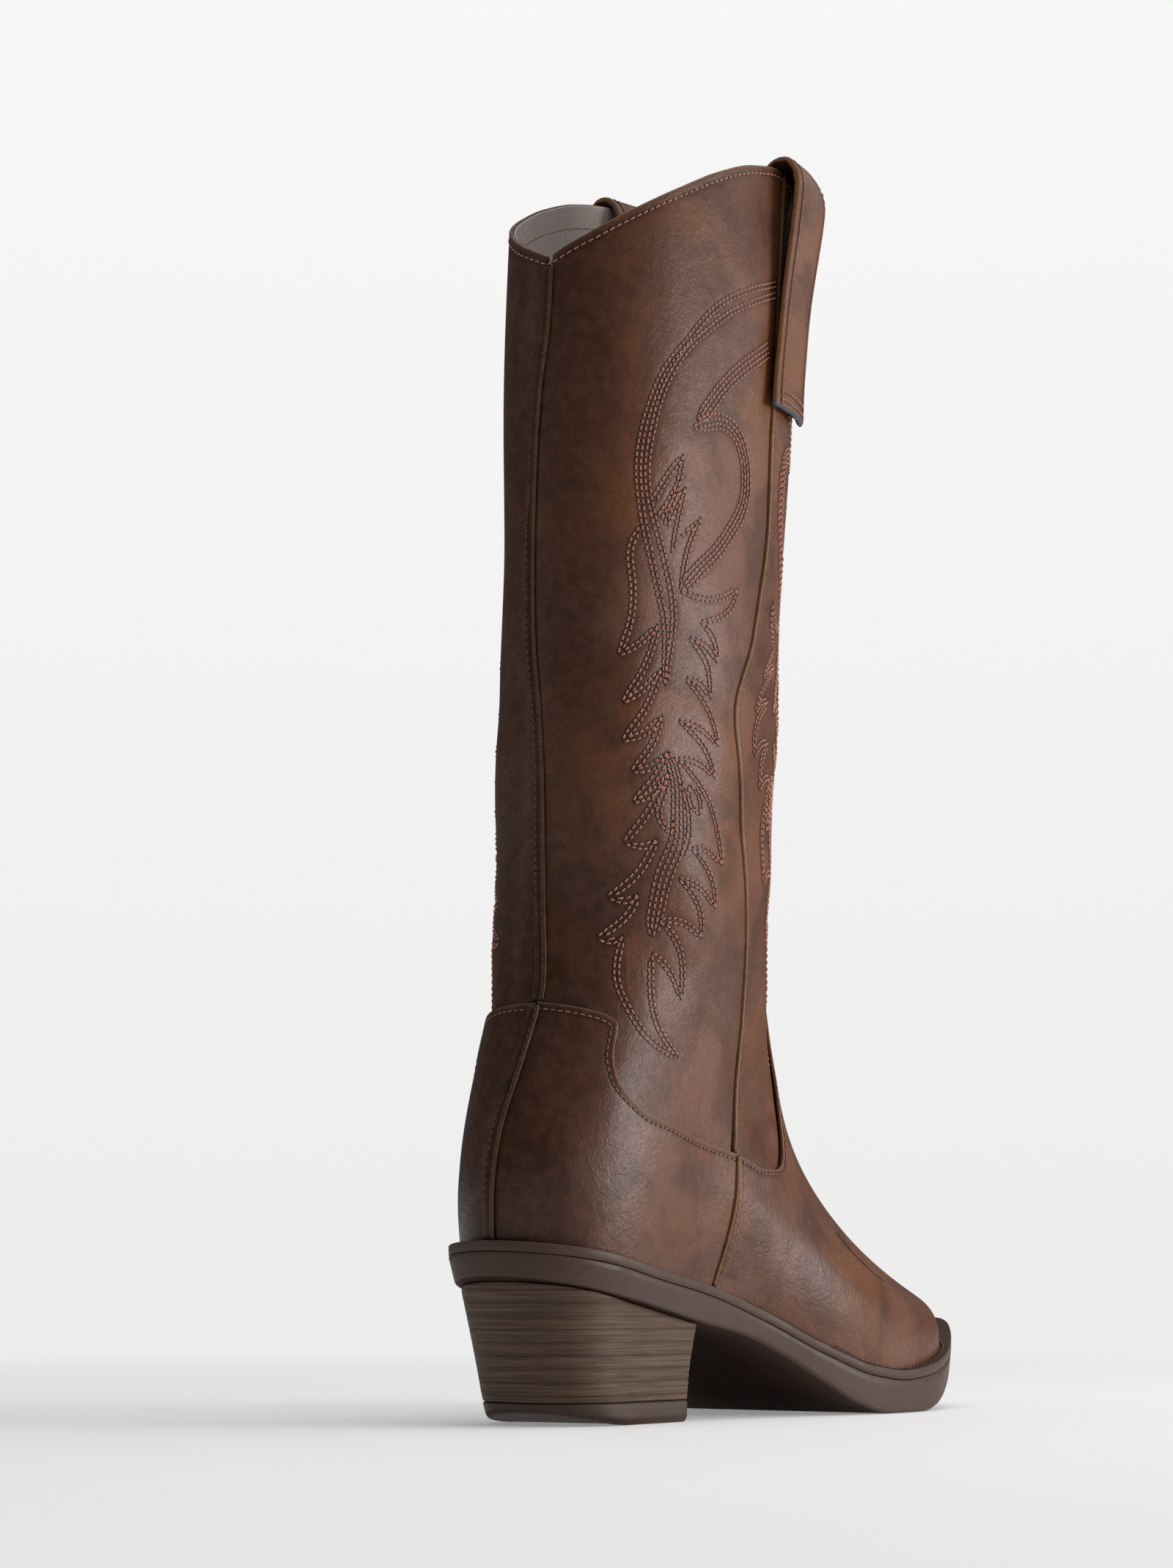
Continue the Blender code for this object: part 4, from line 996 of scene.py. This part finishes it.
def build_seams():
    trim = LOOKS["trim"]
    for name, u, sign in (("lateral", SIDE_SEAM, 1), ("medial", 1 - SIDE_SEAM, -1)):
        v = np.arange(.12, 38.1, .12)
        v = v[v < float(top_line(SIDE_SEAM)) - .1]
        line = np.stack([np.full_like(v, u), v], 1)
        section = [(-sign * x, y, e) for x, y, e in PIPING]
        if sign > 0:
            section = section[::-1]
        strip_along("side_piping_" + name + "_roll", line[v > 5.25], section, trim,
                    "trim_leather", "side_piping_" + name)
        strip_along("side_piping_" + name + "_foot", line[v < 5.2],
                    [(x, y + OVERLAY_LEVEL / MM, e) for x, y, e in section], trim,
                    "trim_leather")
        for part, rise in ((line[v > 5.25], 0), (line[v < 5.2], OVERLAY_LEVEL)):
            beside_seam = beside(part, -sign * 2.5 * MM)
            sew("side_stitching_%s_%d" % (name, rise > 0), laid([beside_seam], rise - .05 * MM),
                "tan_thread", "trim_leather", 2.4 * MM, .6, .3 * MM)
    for name, low, high, level in (("counter", .15, 7.85, 2.6), ("shaft", 8.1, 33.1, .4)):
        v = np.arange(low, high, .12)
        line = np.stack([np.zeros_like(v), v], 1)
        strip_along(name + "_back_strip_leather", line, [(x, y + level, e) for x, y, e in STRIP],
                    trim, "trim_leather", name + "_back_strip")
        rows = [beside(line, r * MM) for r in (-1.0, 1.0)]
        sew(name + "_back_stitching", laid(rows, (level + .3) * MM), "dark_thread",
            "trim_leather", 2.6 * MM, .8)


def build_strap(side, centre):
    knots = np.array(STRAP_PATH)
    run = run_along(knots)

    def path(t):
        return spline_weights(run, t) @ knots

    def at(u, t):
        here = path(t)
        p, n = surface(u, here[:, 1])
        ahead, behind = path(t + 1e-3), path(t - 1e-3)
        q, m = surface(u, ahead[:, 1])
        r, k = surface(u, behind[:, 1])
        a = p + n * (here[:, 0] * CM)[:, None]
        along = (q + m * (ahead[:, 0] * CM)[:, None]) - (r + k * (behind[:, 0] * CM)[:, None])
        across = surface(u + 1e-3, here[:, 1])[0] - surface(u - 1e-3, here[:, 1])[0]
        out = np.cross(across, along)
        return a, out / np.linalg.norm(out, axis=1, keepdims=True)

    width = 2 * STRAP_HALF * GIRTH * .83
    share = with_edges(width, PITCH)
    t = with_edges(run[-1], PITCH * 1.6) * run[-1]
    uu, tt = np.meshgrid(centre + (share * 2 - 1) * STRAP_HALF, t)
    # the cut ends fray a little
    wobble = np.sin(share * 61) * .5 + np.sin(share * 143 + 1) * .5
    tt = tt + np.clip(1 - tt / .25, 0, 1) * (wobble * .035)[None]
    p, n = at(uu.ravel(), tt.ravel())
    p, n = p.reshape(*uu.shape, 3), n.reshape(*uu.shape, 3)
    edge = edge_distance(p, False)
    down = np.linspace(.12, run[-1] - .1, 700)
    cross = np.linspace(-1, 1, 90) * (STRAP_HALF - 2.2 * MM / STRAP_GIRTH) + centre
    sewn = [at(np.full_like(down, centre + s * (STRAP_HALF - 2.6 * MM / STRAP_GIRTH)), down)
            for s in (-1, 1)]
    sewn += [at(cross, np.full_like(cross, d)) for d in (.28, .62)]
    tree = tree_of(np.vstack([q for q, _ in sewn]))
    stitched = distances(tree, p.reshape(-1, 3)).reshape(uu.shape)
    radius = STRAP_THICKNESS * .5
    height = (.25 * MM * (1 - np.exp(-(edge / .5)**2)) + .3 * MM * np.exp(-((edge - .12) / .09)**2)
              - .35 * MM * np.exp(-(stitched / (1.1 * MM))**2) - rounding(edge, radius))
    outer = p + n * (height * CM)[..., None]
    count_t, count_u = uu.shape
    every_row, every_column = coarse_grid(count_t, count_u, 3)
    back = np.ix_(every_row, every_column)
    inset = rounding(edge[back], radius) * .8
    inner = p[back] - n[back] * ((STRAP_THICKNESS - inset) * CM)[..., None]
    raw = np.exp(-(tt / .13)**4)
    grow = np.exp(-(edge / (1.1 * MM))**4)
    zeros = np.zeros(inner[..., 0].size)
    marks = {"edge": np.concatenate([grow.ravel(), zeros]),
             "raw": np.concatenate([raw.ravel(), raw[back].ravel()]),
             # darker near the stitch rows: partly pressed leather, partly painted shade
             "stitched": np.concatenate([np.exp(-(stitched / (.9 * MM))**2).ravel() * .35, zeros]),
             # rubbed finish together with painted shade, near full light on the straps
             "rub_and_shade": np.full(outer[..., 0].size + zeros.size, .95 if centre > 0 else .6)}
    points = np.vstack([outer.reshape(-1, 3), inner.reshape(-1, 3)])
    faces = shell_faces(count_t, count_u, every_row, every_column, False)
    # the underside look is dark suede with painted shade of the gap
    new_piece("pull_strap_" + side + "_leather", points, faces, LOOKS["strap"], "foot_leather",
              "pull_strap_" + side, marks=marks, under=LOOKS["suede_with_painted_shade"])
    sew("pull_strap_" + side + "_stitching", [(q + m * (.14 * MM * CM), m) for q, m in sewn],
        "tan_thread", "foot_leather", 2.8 * MM, 1.1, .3 * MM)


def build_inside():
    """Facing under the top line, and the lining."""
    def rim(u):
        return top_line(u) - 0.05

    for name, low, high, look, slot, nodes, level in (
            ("topline_facing_leather", lambda u: top_line(u) - 1.15, rim, LOOKS["facing"],
             "trim_leather", ("topline_facing",), LINING_LEVEL + .35 * MM),
            ("shaft_lining_cloth", lambda u: np.full_like(u, 8.2), lambda u: top_line(u) - 0.95,
             LOOKS["lining"], "lining_textile", ("shaft_lining",), LINING_LEVEL)):
        leather_piece(name, (0, 1), low, high, level - LINING, LINING, look, slot, *nodes,
                      closed=True, pitch=PITCH * 1.6, coarse=3, inward=True)
    fine = np.linspace(0, 1, 900)
    row = np.stack([fine, top_line(fine) - .95], 1)
    inside = [(p - n * ((-LINING_LEVEL + LINING * .75) * CM), -n) for p, n in laid([row], 0)]
    sew("facing_stitching", inside, "tan_thread", "trim_leather", 3 * MM, .8)
    for name, ends in (("quarter_lining", (-SIDE_SEAM, SIDE_SEAM)),
                       ("vamp_lining", (SIDE_SEAM, 1 - SIDE_SEAM))):
        leather_piece(name + "_cloth", ends, lambda u: np.full_like(u, .3),
                      lambda u: np.full_like(u, 8.4), LINING_LEVEL - LINING, LINING,
                      LOOKS["lining"], "lining_textile", name, pitch=PITCH * 2.4, coarse=2,
                      inward=True)


# ---- bottom ---------------------------------------------------------------------
def rings_piece(name, rings, look, slot, *nodes, closed=False, marks=None, under=None):
    """Solid through rings of points; capped at both ends unless closed.  Under is the
    first ring of a second look and that look."""
    rings = np.asarray(rings)
    count, around = rings.shape[:2]
    faces = [grid_faces(count, around, closed=True)]
    if under:
        split = under[0] * around
        faces = [faces[0][:split], faces[0][split:]]
    if closed:
        last = (count - 1) * around
        ring = np.arange(around)
        following = (ring + 1) % around
        faces.append(np.stack([last + ring, last + following, following, ring], 1))
    else:
        faces += [np.arange(around)[::-1][None], np.arange((count - 1) * around,
                                                         count * around)[None]]
    return new_piece(name, rings, faces, look, slot, *nodes, marks=marks,
                     under=under and under[1])


def round_corner(x, y, radius, start, turn, steps=5):
    """Arc of a section's corner, from an angle (degrees) over a turn."""
    angles = np.radians(start + turn * np.linspace(0, 1, steps))
    return [(x + radius * math.cos(a), y + radius * math.sin(a)) for a in angles]


def welt_ring():
    """Rubber welt: top face, a wall flush with the sole's, and the groove under it."""
    thick, wide, r = 3.4 * MM, 13 * MM, .45 * MM
    section = [(wide, -thick), (wide, 0), (wide * .6, 0), (r * 2.5, 0)]
    section += round_corner(r, -r, r, 90, 90)
    section += [(.05 * MM, -thick * .5), (.1 * MM, -thick + .3 * MM), (.3 * MM, -thick + .04 * MM),
                (.9 * MM, -thick)]
    count = 520
    rings = []
    for inset, dz in section:
        loop = outline(inset, count)
        z = sole_top(np.clip(loop[:, 0], 0, SOLE_LENGTH)) + dz
        rings.append(to_world(np.column_stack([loop, z])))
    rings_piece("welt_rim", rings, LOOKS["welt"], "welt_rubber", "welt", closed=True)


def outsole_body():
    """Outsole: wall sloping in toward the floor, a bevel under the waist, and the underside."""
    count = 520
    rim = outline(0.1 * MM, count)
    s = np.clip(rim[:, 0], 0, SOLE_LENGTH)
    inner_loop = outline(5 * MM, count)
    top, bottom = sole_top(s) - 3.6 * MM, sole_bottom(s)
    waist = np.exp(-((s - 12.5) / 3.2)**2)
    toe = 1 / (1 + np.exp(-(s - 23.5) / .9))
    soft = .07 + .22 * toe                          # radius of the lower edge
    bevel = (.08 + .3 * waist) * (top - bottom) * .35
    lean = (.7 + 1.2 / (1 + np.exp((s - 5) / 1.2))) * MM     # more at the heel
    rings = []

    def ring(inset, z):
        inward = (inner_loop - rim) / (4.9 * MM)
        loop = rim + inward * np.broadcast_to(inset, (count,))[:, None]
        rings.append(to_world(np.column_stack([loop, z])))

    def middle(share, z):
        centre = np.column_stack([np.clip(rim[:, 0], 2.6, 25.2), np.zeros(count)])
        centre[:, 1] = .1 * np.sin((centre[:, 0] - 8) / 9)
        loop = centre + (inner_loop - centre) * share
        sole = sole_top if z == "top" else sole_bottom
        height = sole(np.clip(loop[:, 0], 0, SOLE_LENGTH)) - (3.6 * MM if z == "top" else 0)
        rings.append(to_world(np.column_stack([loop, height])))

    for share in (.01, .35, .7, 1):
        middle(share, "top")
    ring(.8 * MM, top)
    ring(.25 * MM, top - .04 * MM)
    ring(0, top - .3 * MM)
    for part in (.25, .5, .75, 1):
        wall = (top - .3 * MM) + ((bottom + soft + bevel) - (top - .3 * MM)) * part
        ring(lean * part, wall)
    for angle in np.radians((20, 45, 70, 90)):
        drop = soft * math.sin(angle) + bevel * np.sin(angle)
        ring(lean + soft * (1 - math.cos(angle)) + bevel * (1 - math.cos(angle)) * .8,
             bottom + soft + bevel - drop)
    for share in (.7, .35, .01):
        middle(share, "bottom")
    # painted shade under the sole: the underside rings are marked darker and take the darker
    # underside look
    shaded = np.clip((np.arange(len(rings)) - len(rings) + 4.5) / 2, 0, 1)
    rings_piece("outsole_body", rings, LOOKS["sole"], "sole_rubber", "outsole",
                marks={"under": np.repeat(shaded, count)},
                under=(len(rings) - 5, LOOKS["under"]))


def heel_outline(share, count=420, inset=0.0):
    """Fine D-shaped heel outline with its concave breast; (s, l) points."""
    back = HEEL_SETBACK_TOP + (HEEL_SETBACK_BOTTOM - HEEL_SETBACK_TOP) * share + inset
    length = HEEL_LENGTH_TOP + (HEEL_LENGTH_BOTTOM - HEEL_LENGTH_TOP) * share - 2 * inset
    half = HEEL_HALF_TOP + (HEEL_HALF_BOTTOM - HEEL_HALF_TOP) * share - inset
    half -= 0.1 * math.sin(math.pi * min(1, max(0, share)))
    angle = np.linspace(0, math.pi, 160)
    c, d = np.cos(angle), np.sin(angle)
    r = (np.abs(c)**HEEL_SQUARENESS + np.abs(d)**HEEL_SQUARENESS)**(-1 / HEEL_SQUARENESS)
    curve = np.column_stack([back + half * (1 - d * r), half * c * r])
    breast = back + length
    across = np.linspace(-1, 1, 41)
    front = np.column_stack([breast - .3 * (1 - across**2) - .15 * across**8, half * across])
    loop = np.vstack([curve, front, curve[:1]])
    run = run_along(loop)
    t = np.arange(count) / count * run[-1]
    return np.column_stack([np.interp(t, run, loop[:, k]) for k in (0, 1)])


def heel_layers():
    """Stacked heel: thin layers with a shallow groove at each joint."""
    rings, groove_marks = [], []
    count, levels = 420, 78
    for k in range(levels + 1):
        part = k / levels
        share = part * (HEEL_HEIGHT - TOP_LIFT) / HEEL_HEIGHT
        loop = heel_outline(share, count)
        seat = sole_bottom(loop[:, 0]) - .3 * MM
        z = seat * (1 - part) + TOP_LIFT * part
        joint = np.abs(np.mod(z / LAYER + .25, 1) - .5) * LAYER
        groove = np.exp(-(joint / (.28 * MM))**2)
        ends = .8 * MM * (np.exp(-part * levels / 1.5) + np.exp(-(1 - part) * levels / 1.5)) * .5
        inward = np.array([4.2, 0]) - loop
        inward /= np.linalg.norm(inward, axis=1, keepdims=True)
        loop = loop + inward * (groove * .1 * MM + ends)[:, None]
        rings.append(to_world(np.column_stack([loop, z])))
        groove_marks.append(groove)
    rings_piece("heel_stack", rings, LOOKS["heel"], "stacked_heel", "heel_block",
                marks={"groove": np.concatenate(groove_marks)})


def top_lift_rubber():
    """Top lift with a rounded upper edge and fine teeth round its wearing edge."""
    count, teeth = 760, 176
    share = (HEEL_HEIGHT - TOP_LIFT) / HEEL_HEIGHT
    flat_from = HEEL_SETBACK_BOTTOM + HEEL_HALF_BOTTOM       # the lift lies flat from here on
    rings, marks = [], []
    phase = np.mod(np.arange(count) * teeth / count, 1)
    tooth = np.clip(np.abs(phase - .5) * 4 - .6, 0, 1)
    for part, inset, toothed in ((0, 2.2, 0), (0, .5, 0), (.04, .15, 0), (.1, 0, 0), (.35, 0, 0),
                                 (.6, 0, 0), (.74, .05, 0), (.76, .1, .55), (.9, .2, 1),
                                 (.985, .5, 1), (1, 1.3, .6), (1, 3.2, 0)):
        loop = heel_outline(share + (1 - share) * part, count, inset * MM)
        worn = HEEL_ROCKER * np.clip((flat_from - loop[:, 0])
                                     / (flat_from - HEEL_SETBACK_BOTTOM), 0, 1)**1.6
        z = (TOP_LIFT - .3 * MM) * (1 - part) + worn * part
        inward = np.array([4.6, 0]) - loop
        inward /= np.linalg.norm(inward, axis=1, keepdims=True)
        loop = loop + inward * (tooth * toothed * .75 * MM)[:, None]
        rings.append(to_world(np.column_stack([loop, z])))
        marks.append(tooth * toothed)
    rings_piece("top_lift_rubber_piece", rings, LOOKS["lift"], "top_lift_rubber", "top_lift",
                marks={"groove": np.concatenate(marks)})


def insole_pieces():
    """Padded foam under the foot and its textile cover, slightly crowned."""
    u = np.linspace(0, 1, 241)[:-1]
    loop = form(u, np.zeros_like(u))[:, :2]
    centre = np.column_stack([np.clip(loop[:, 0], 3, 23.5), np.zeros_like(u)])
    for name, base, thick, look, slot, node in (
            ("insole_foam_pad", 3.2, 2.0, LOOKS["foam"], "foam", "insole_foam"),
            ("sock_lining_cloth", 5.7, .8, LOOKS["lining"], "lining_textile", "sock_lining")):
        rings = []
        for share, z in ((.01, base), (.5, base), (.86, base), (.885, base + thick * .3),
                         (.885, base + thick * .7), (.86, base + thick), (.5, base + thick),
                         (.01, base + thick)):
            points = centre + (loop - centre) * share
            crown = .35 * (1 - share)**2
            rings.append(to_world(np.column_stack(
                [points, sole_top(points[:, 0]) + (z + crown * (z > base)) * MM])))
        piece = rings_piece(name, rings[::-1], look, slot, node)


def build_bottom():
    welt_ring()
    outsole_body()
    heel_layers()
    top_lift_rubber()
    insole_pieces()
    u = np.linspace(.36, .64, 900)                       # seen round the toe only
    p, n = surface(u, np.zeros_like(u))
    n[:, 2] = 0
    p = p + n / np.linalg.norm(n, axis=1, keepdims=True) * ((OVERLAY_LEVEL + 1.3 * MM) * CM)
    s = Y_OF_HEEL_BACK - p[:, 1] / CM
    p[:, 2] = (sole_top(s) + .35 * MM) * CM
    sew("welt_stitching", [(p, np.tile([0, 0, 1.0], (len(u), 1)))], "dark_thread",
        "foot_leather", 3.2 * MM, 1.1)
    for names, look in (
            (("counter_stiffener", "toe_puff", "insole_board"), LOOKS["board"]),
            (("bottom_filler",), LOOKS["cork"]),
            (("shank", "heel_screw", "heel_nail_1", "heel_nail_2", "heel_nail_3",
              "heel_nail_4"), LOOKS["steel"])):
        for name in names:
            node = frame["nodes"][name]
            for held in node.material_slots:
                held.material = look


# ---- floor, light and camera ------------------------------------------------------
FLOOR_GLOW = (.845, .843, .84)       # the backdrop's colour at the horizon
AMBIENT = .09                        # strength of the backdrop's light on the boot


def stage_floor():
    """Round floor that fades into the backdrop far from the boot."""
    rings, around = 40, 96
    angle = np.arange(around) / around * 2 * math.pi
    radius = 9.0 * (np.arange(rings) / (rings - 1))**2 + .001
    points = np.stack([np.outer(radius, np.cos(angle)), np.outer(radius, np.sin(angle)),
                       np.full((rings, around), -.0001)], -1)
    look = Look("paper_floor")
    away = look.add("ShaderNodeVectorMath", operation="LENGTH")
    look.join(look.place, away.inputs[0])
    far = look.ramp(away.outputs["Value"], .16, 1.2, .3, 1)
    mottle = look.ramp(look.noise(2.2, 2), .3, .7, .985, 1.0)
    look.finish(look.mix(mottle, (.945, .942, .94), (.96, .957, .955)), .9, Specular_IOR_Level=.1)
    glow = look.add("ShaderNodeEmission")
    glow.inputs["Color"].default_value = (*FLOOR_GLOW, 1)
    both = look.add("ShaderNodeMixShader")
    look.join(far, both.inputs[0])
    look.join(look.shader.outputs[0], both.inputs[1])
    look.join(glow.outputs[0], both.inputs[2])
    look.join(both.outputs[0], look.tree.nodes["Material Output"].inputs["Surface"])
    mesh = bpy.data.meshes.new("floor")
    faces = grid_faces(rings, around, closed=True, flip=True)
    mesh.from_pydata(points.reshape(-1, 3).tolist(), [], faces.tolist())
    mesh.materials.append(look.made)
    floor = bpy.data.objects.new("floor", mesh)
    bpy.context.scene.collection.objects.link(floor)


def backdrop():
    """Pale backdrop; it shows bright, and lights the boot more gently."""
    world = bpy.data.worlds.new("backdrop")
    bpy.context.scene.world = world
    world.use_nodes = True
    tree = world.node_tree
    tree.nodes.clear()
    out = tree.nodes.new("ShaderNodeOutputWorld")
    seen, lit = tree.nodes.new("ShaderNodeBackground"), tree.nodes.new("ShaderNodeBackground")
    place = tree.nodes.new("ShaderNodeTexCoord")
    split = tree.nodes.new("ShaderNodeSeparateXYZ")
    rise = tree.nodes.new("ShaderNodeMapRange")
    rise.inputs["From Min"].default_value, rise.inputs["From Max"].default_value = -.02, .42
    ramp = tree.nodes.new("ShaderNodeMix")
    ramp.data_type = "RGBA"
    ramp.inputs[6].default_value = (*FLOOR_GLOW, 1)
    ramp.inputs[7].default_value = (.94, .94, .94, 1)
    path = tree.nodes.new("ShaderNodeLightPath")
    both = tree.nodes.new("ShaderNodeMixShader")
    link = tree.links.new
    link(place.outputs["Generated"], split.inputs[0])
    link(split.outputs["Z"], rise.inputs["Value"])
    link(rise.outputs["Result"], ramp.inputs[0])
    link(ramp.outputs[2], seen.inputs["Color"])
    lit.inputs["Color"].default_value = (.9, .93, 1, 1)
    lit.inputs["Strength"].default_value = AMBIENT
    link(path.outputs["Is Camera Ray"], both.inputs[0])
    link(lit.outputs[0], both.inputs[1])
    link(seen.outputs[0], both.inputs[2])
    link(both.outputs[0], out.inputs["Surface"])


# softboxes: name, azimuth and height of the lamp as seen from the boot (degrees),
# distance (m), width, height (m), power (W), colour
LAMPS = [("key", 209, 5, 1.5, .75, .6, 20, (1, .985, .97)),
         ("front_fill", 250, 35, 1.7, 1.1, 1.1, 5, (1, .98, .96)),
         ("back_strip", 48, 8, 1.5, .25, 1.3, 1.6, (.95, .97, 1)),
         ("overhead", 190, 80, 1.7, 2.0, 2.0, 26, (1, 1, 1))]


def lamps():
    aim = Vector((0, 0, .18))
    for name, azimuth, height, distance, wide, tall, power, colour in LAMPS:
        light = bpy.data.lights.new(name, "AREA")
        light.shape = "RECTANGLE"
        light.size, light.size_y = wide, tall
        light.energy, light.color = power, colour
        lamp = bpy.data.objects.new(name, light)
        a, h = math.radians(azimuth), math.radians(height)
        lamp.location = aim + Vector((math.cos(a) * math.cos(h), math.sin(a) * math.cos(h),
                                      math.sin(h))) * distance
        lamp.rotation_euler = (aim - lamp.location).to_track_quat("-Z", "Y").to_euler()
        bpy.context.scene.collection.objects.link(lamp)


def camera():
    lens = bpy.data.cameras.new("camera")
    lens.lens, lens.sensor_width, lens.sensor_fit = 99, 36, "HORIZONTAL"
    view = bpy.data.objects.new("camera", lens)
    view.location = (-.62415, .98725, .0444)
    view.rotation_euler = Euler([math.radians(a) for a in (98.887, 0, 215)])
    bpy.context.scene.collection.objects.link(view)
    bpy.context.scene.camera = view


BROWN = dict(rubbed=(.165, .069, .041), brown=(.08, .029, .014), orange=(.16, .055, .018),
             dark=(.024, .01, .006), edge_colour=(.16, .075, .034))
LOOKS = {
    "shaft": leather_look("shaft_leather_finish", **BROWN),
    "foot": leather_look("foot_leather_finish", **BROWN, gloss=.03),
    "trim": leather_look("trim_leather_finish", (.17, .09, .055), (.085, .04, .02),
                         (.15, .07, .028), (.022, .009, .005), (.19, .09, .038)),
    "strap": leather_look("strap_leather_finish", **BROWN, gloss=-.03, frayed=True),
    # strap underside: dark brown suede, darkened further as painted shade of the gap between strap
    # and shaft
    "suede_with_painted_shade": board_look("strap_underside", (.03, .014, .008), (.012, .006, .004), 800, .6, 0),
    "lining": textile_look("lining_cloth", (.4, .34, .31), (.24, .195, .175)),
    "facing": textile_look("facing_cloth", (.4, .33, .295), (.25, .2, .18)),
    "pink_thread": thread_look("embroidery_thread", (.46, .21, .15), (.25, .093, .061)),
    "tan_thread": thread_look("tan_thread", (.33, .17, .1), (.17, .075, .04)),
    "dark_thread": thread_look("dark_thread", (.12, .06, .036), (.04, .02, .013)),
    "hole": hole_shade_look(),
    "welt": rubber_look("welt_rubber_finish", (.066, .036, .027), (.092, .056, .043)),
    "sole": rubber_look("sole_rubber_finish", (.062, .034, .026), (.088, .053, .041)),
    # darker colour of the sole's underside: painted shade
    "under": rubber_look("sole_underside_painted_shade", (.05, .028, .021), (.07, .042, .033), .3, .04),
    "lift": rubber_look("top_lift_rubber_finish", (.053, .03, .022), (.08, .049, .038)),
    "heel": stacked_look(),
    "board": board_look("fibre_board", (.32, .26, .19), (.17, .13, .09)),
    "cork": board_look("cork_filler", (.4, .3, .2), (.2, .13, .08), 260, .8),
    "foam": board_look("insole_foam_finish", (.5, .44, .34), (.36, .3, .22), 900, .4),
    "steel": steel_look(),
}
bpy.context.scene.view_settings.view_transform = "Standard"
camera()
backdrop()
lamps()
stage_floor()
build_upper()
build_strap("lateral", STRAP_CENTRE)
build_strap("medial", 1 - STRAP_CENTRE)
build_inside()
build_bottom()
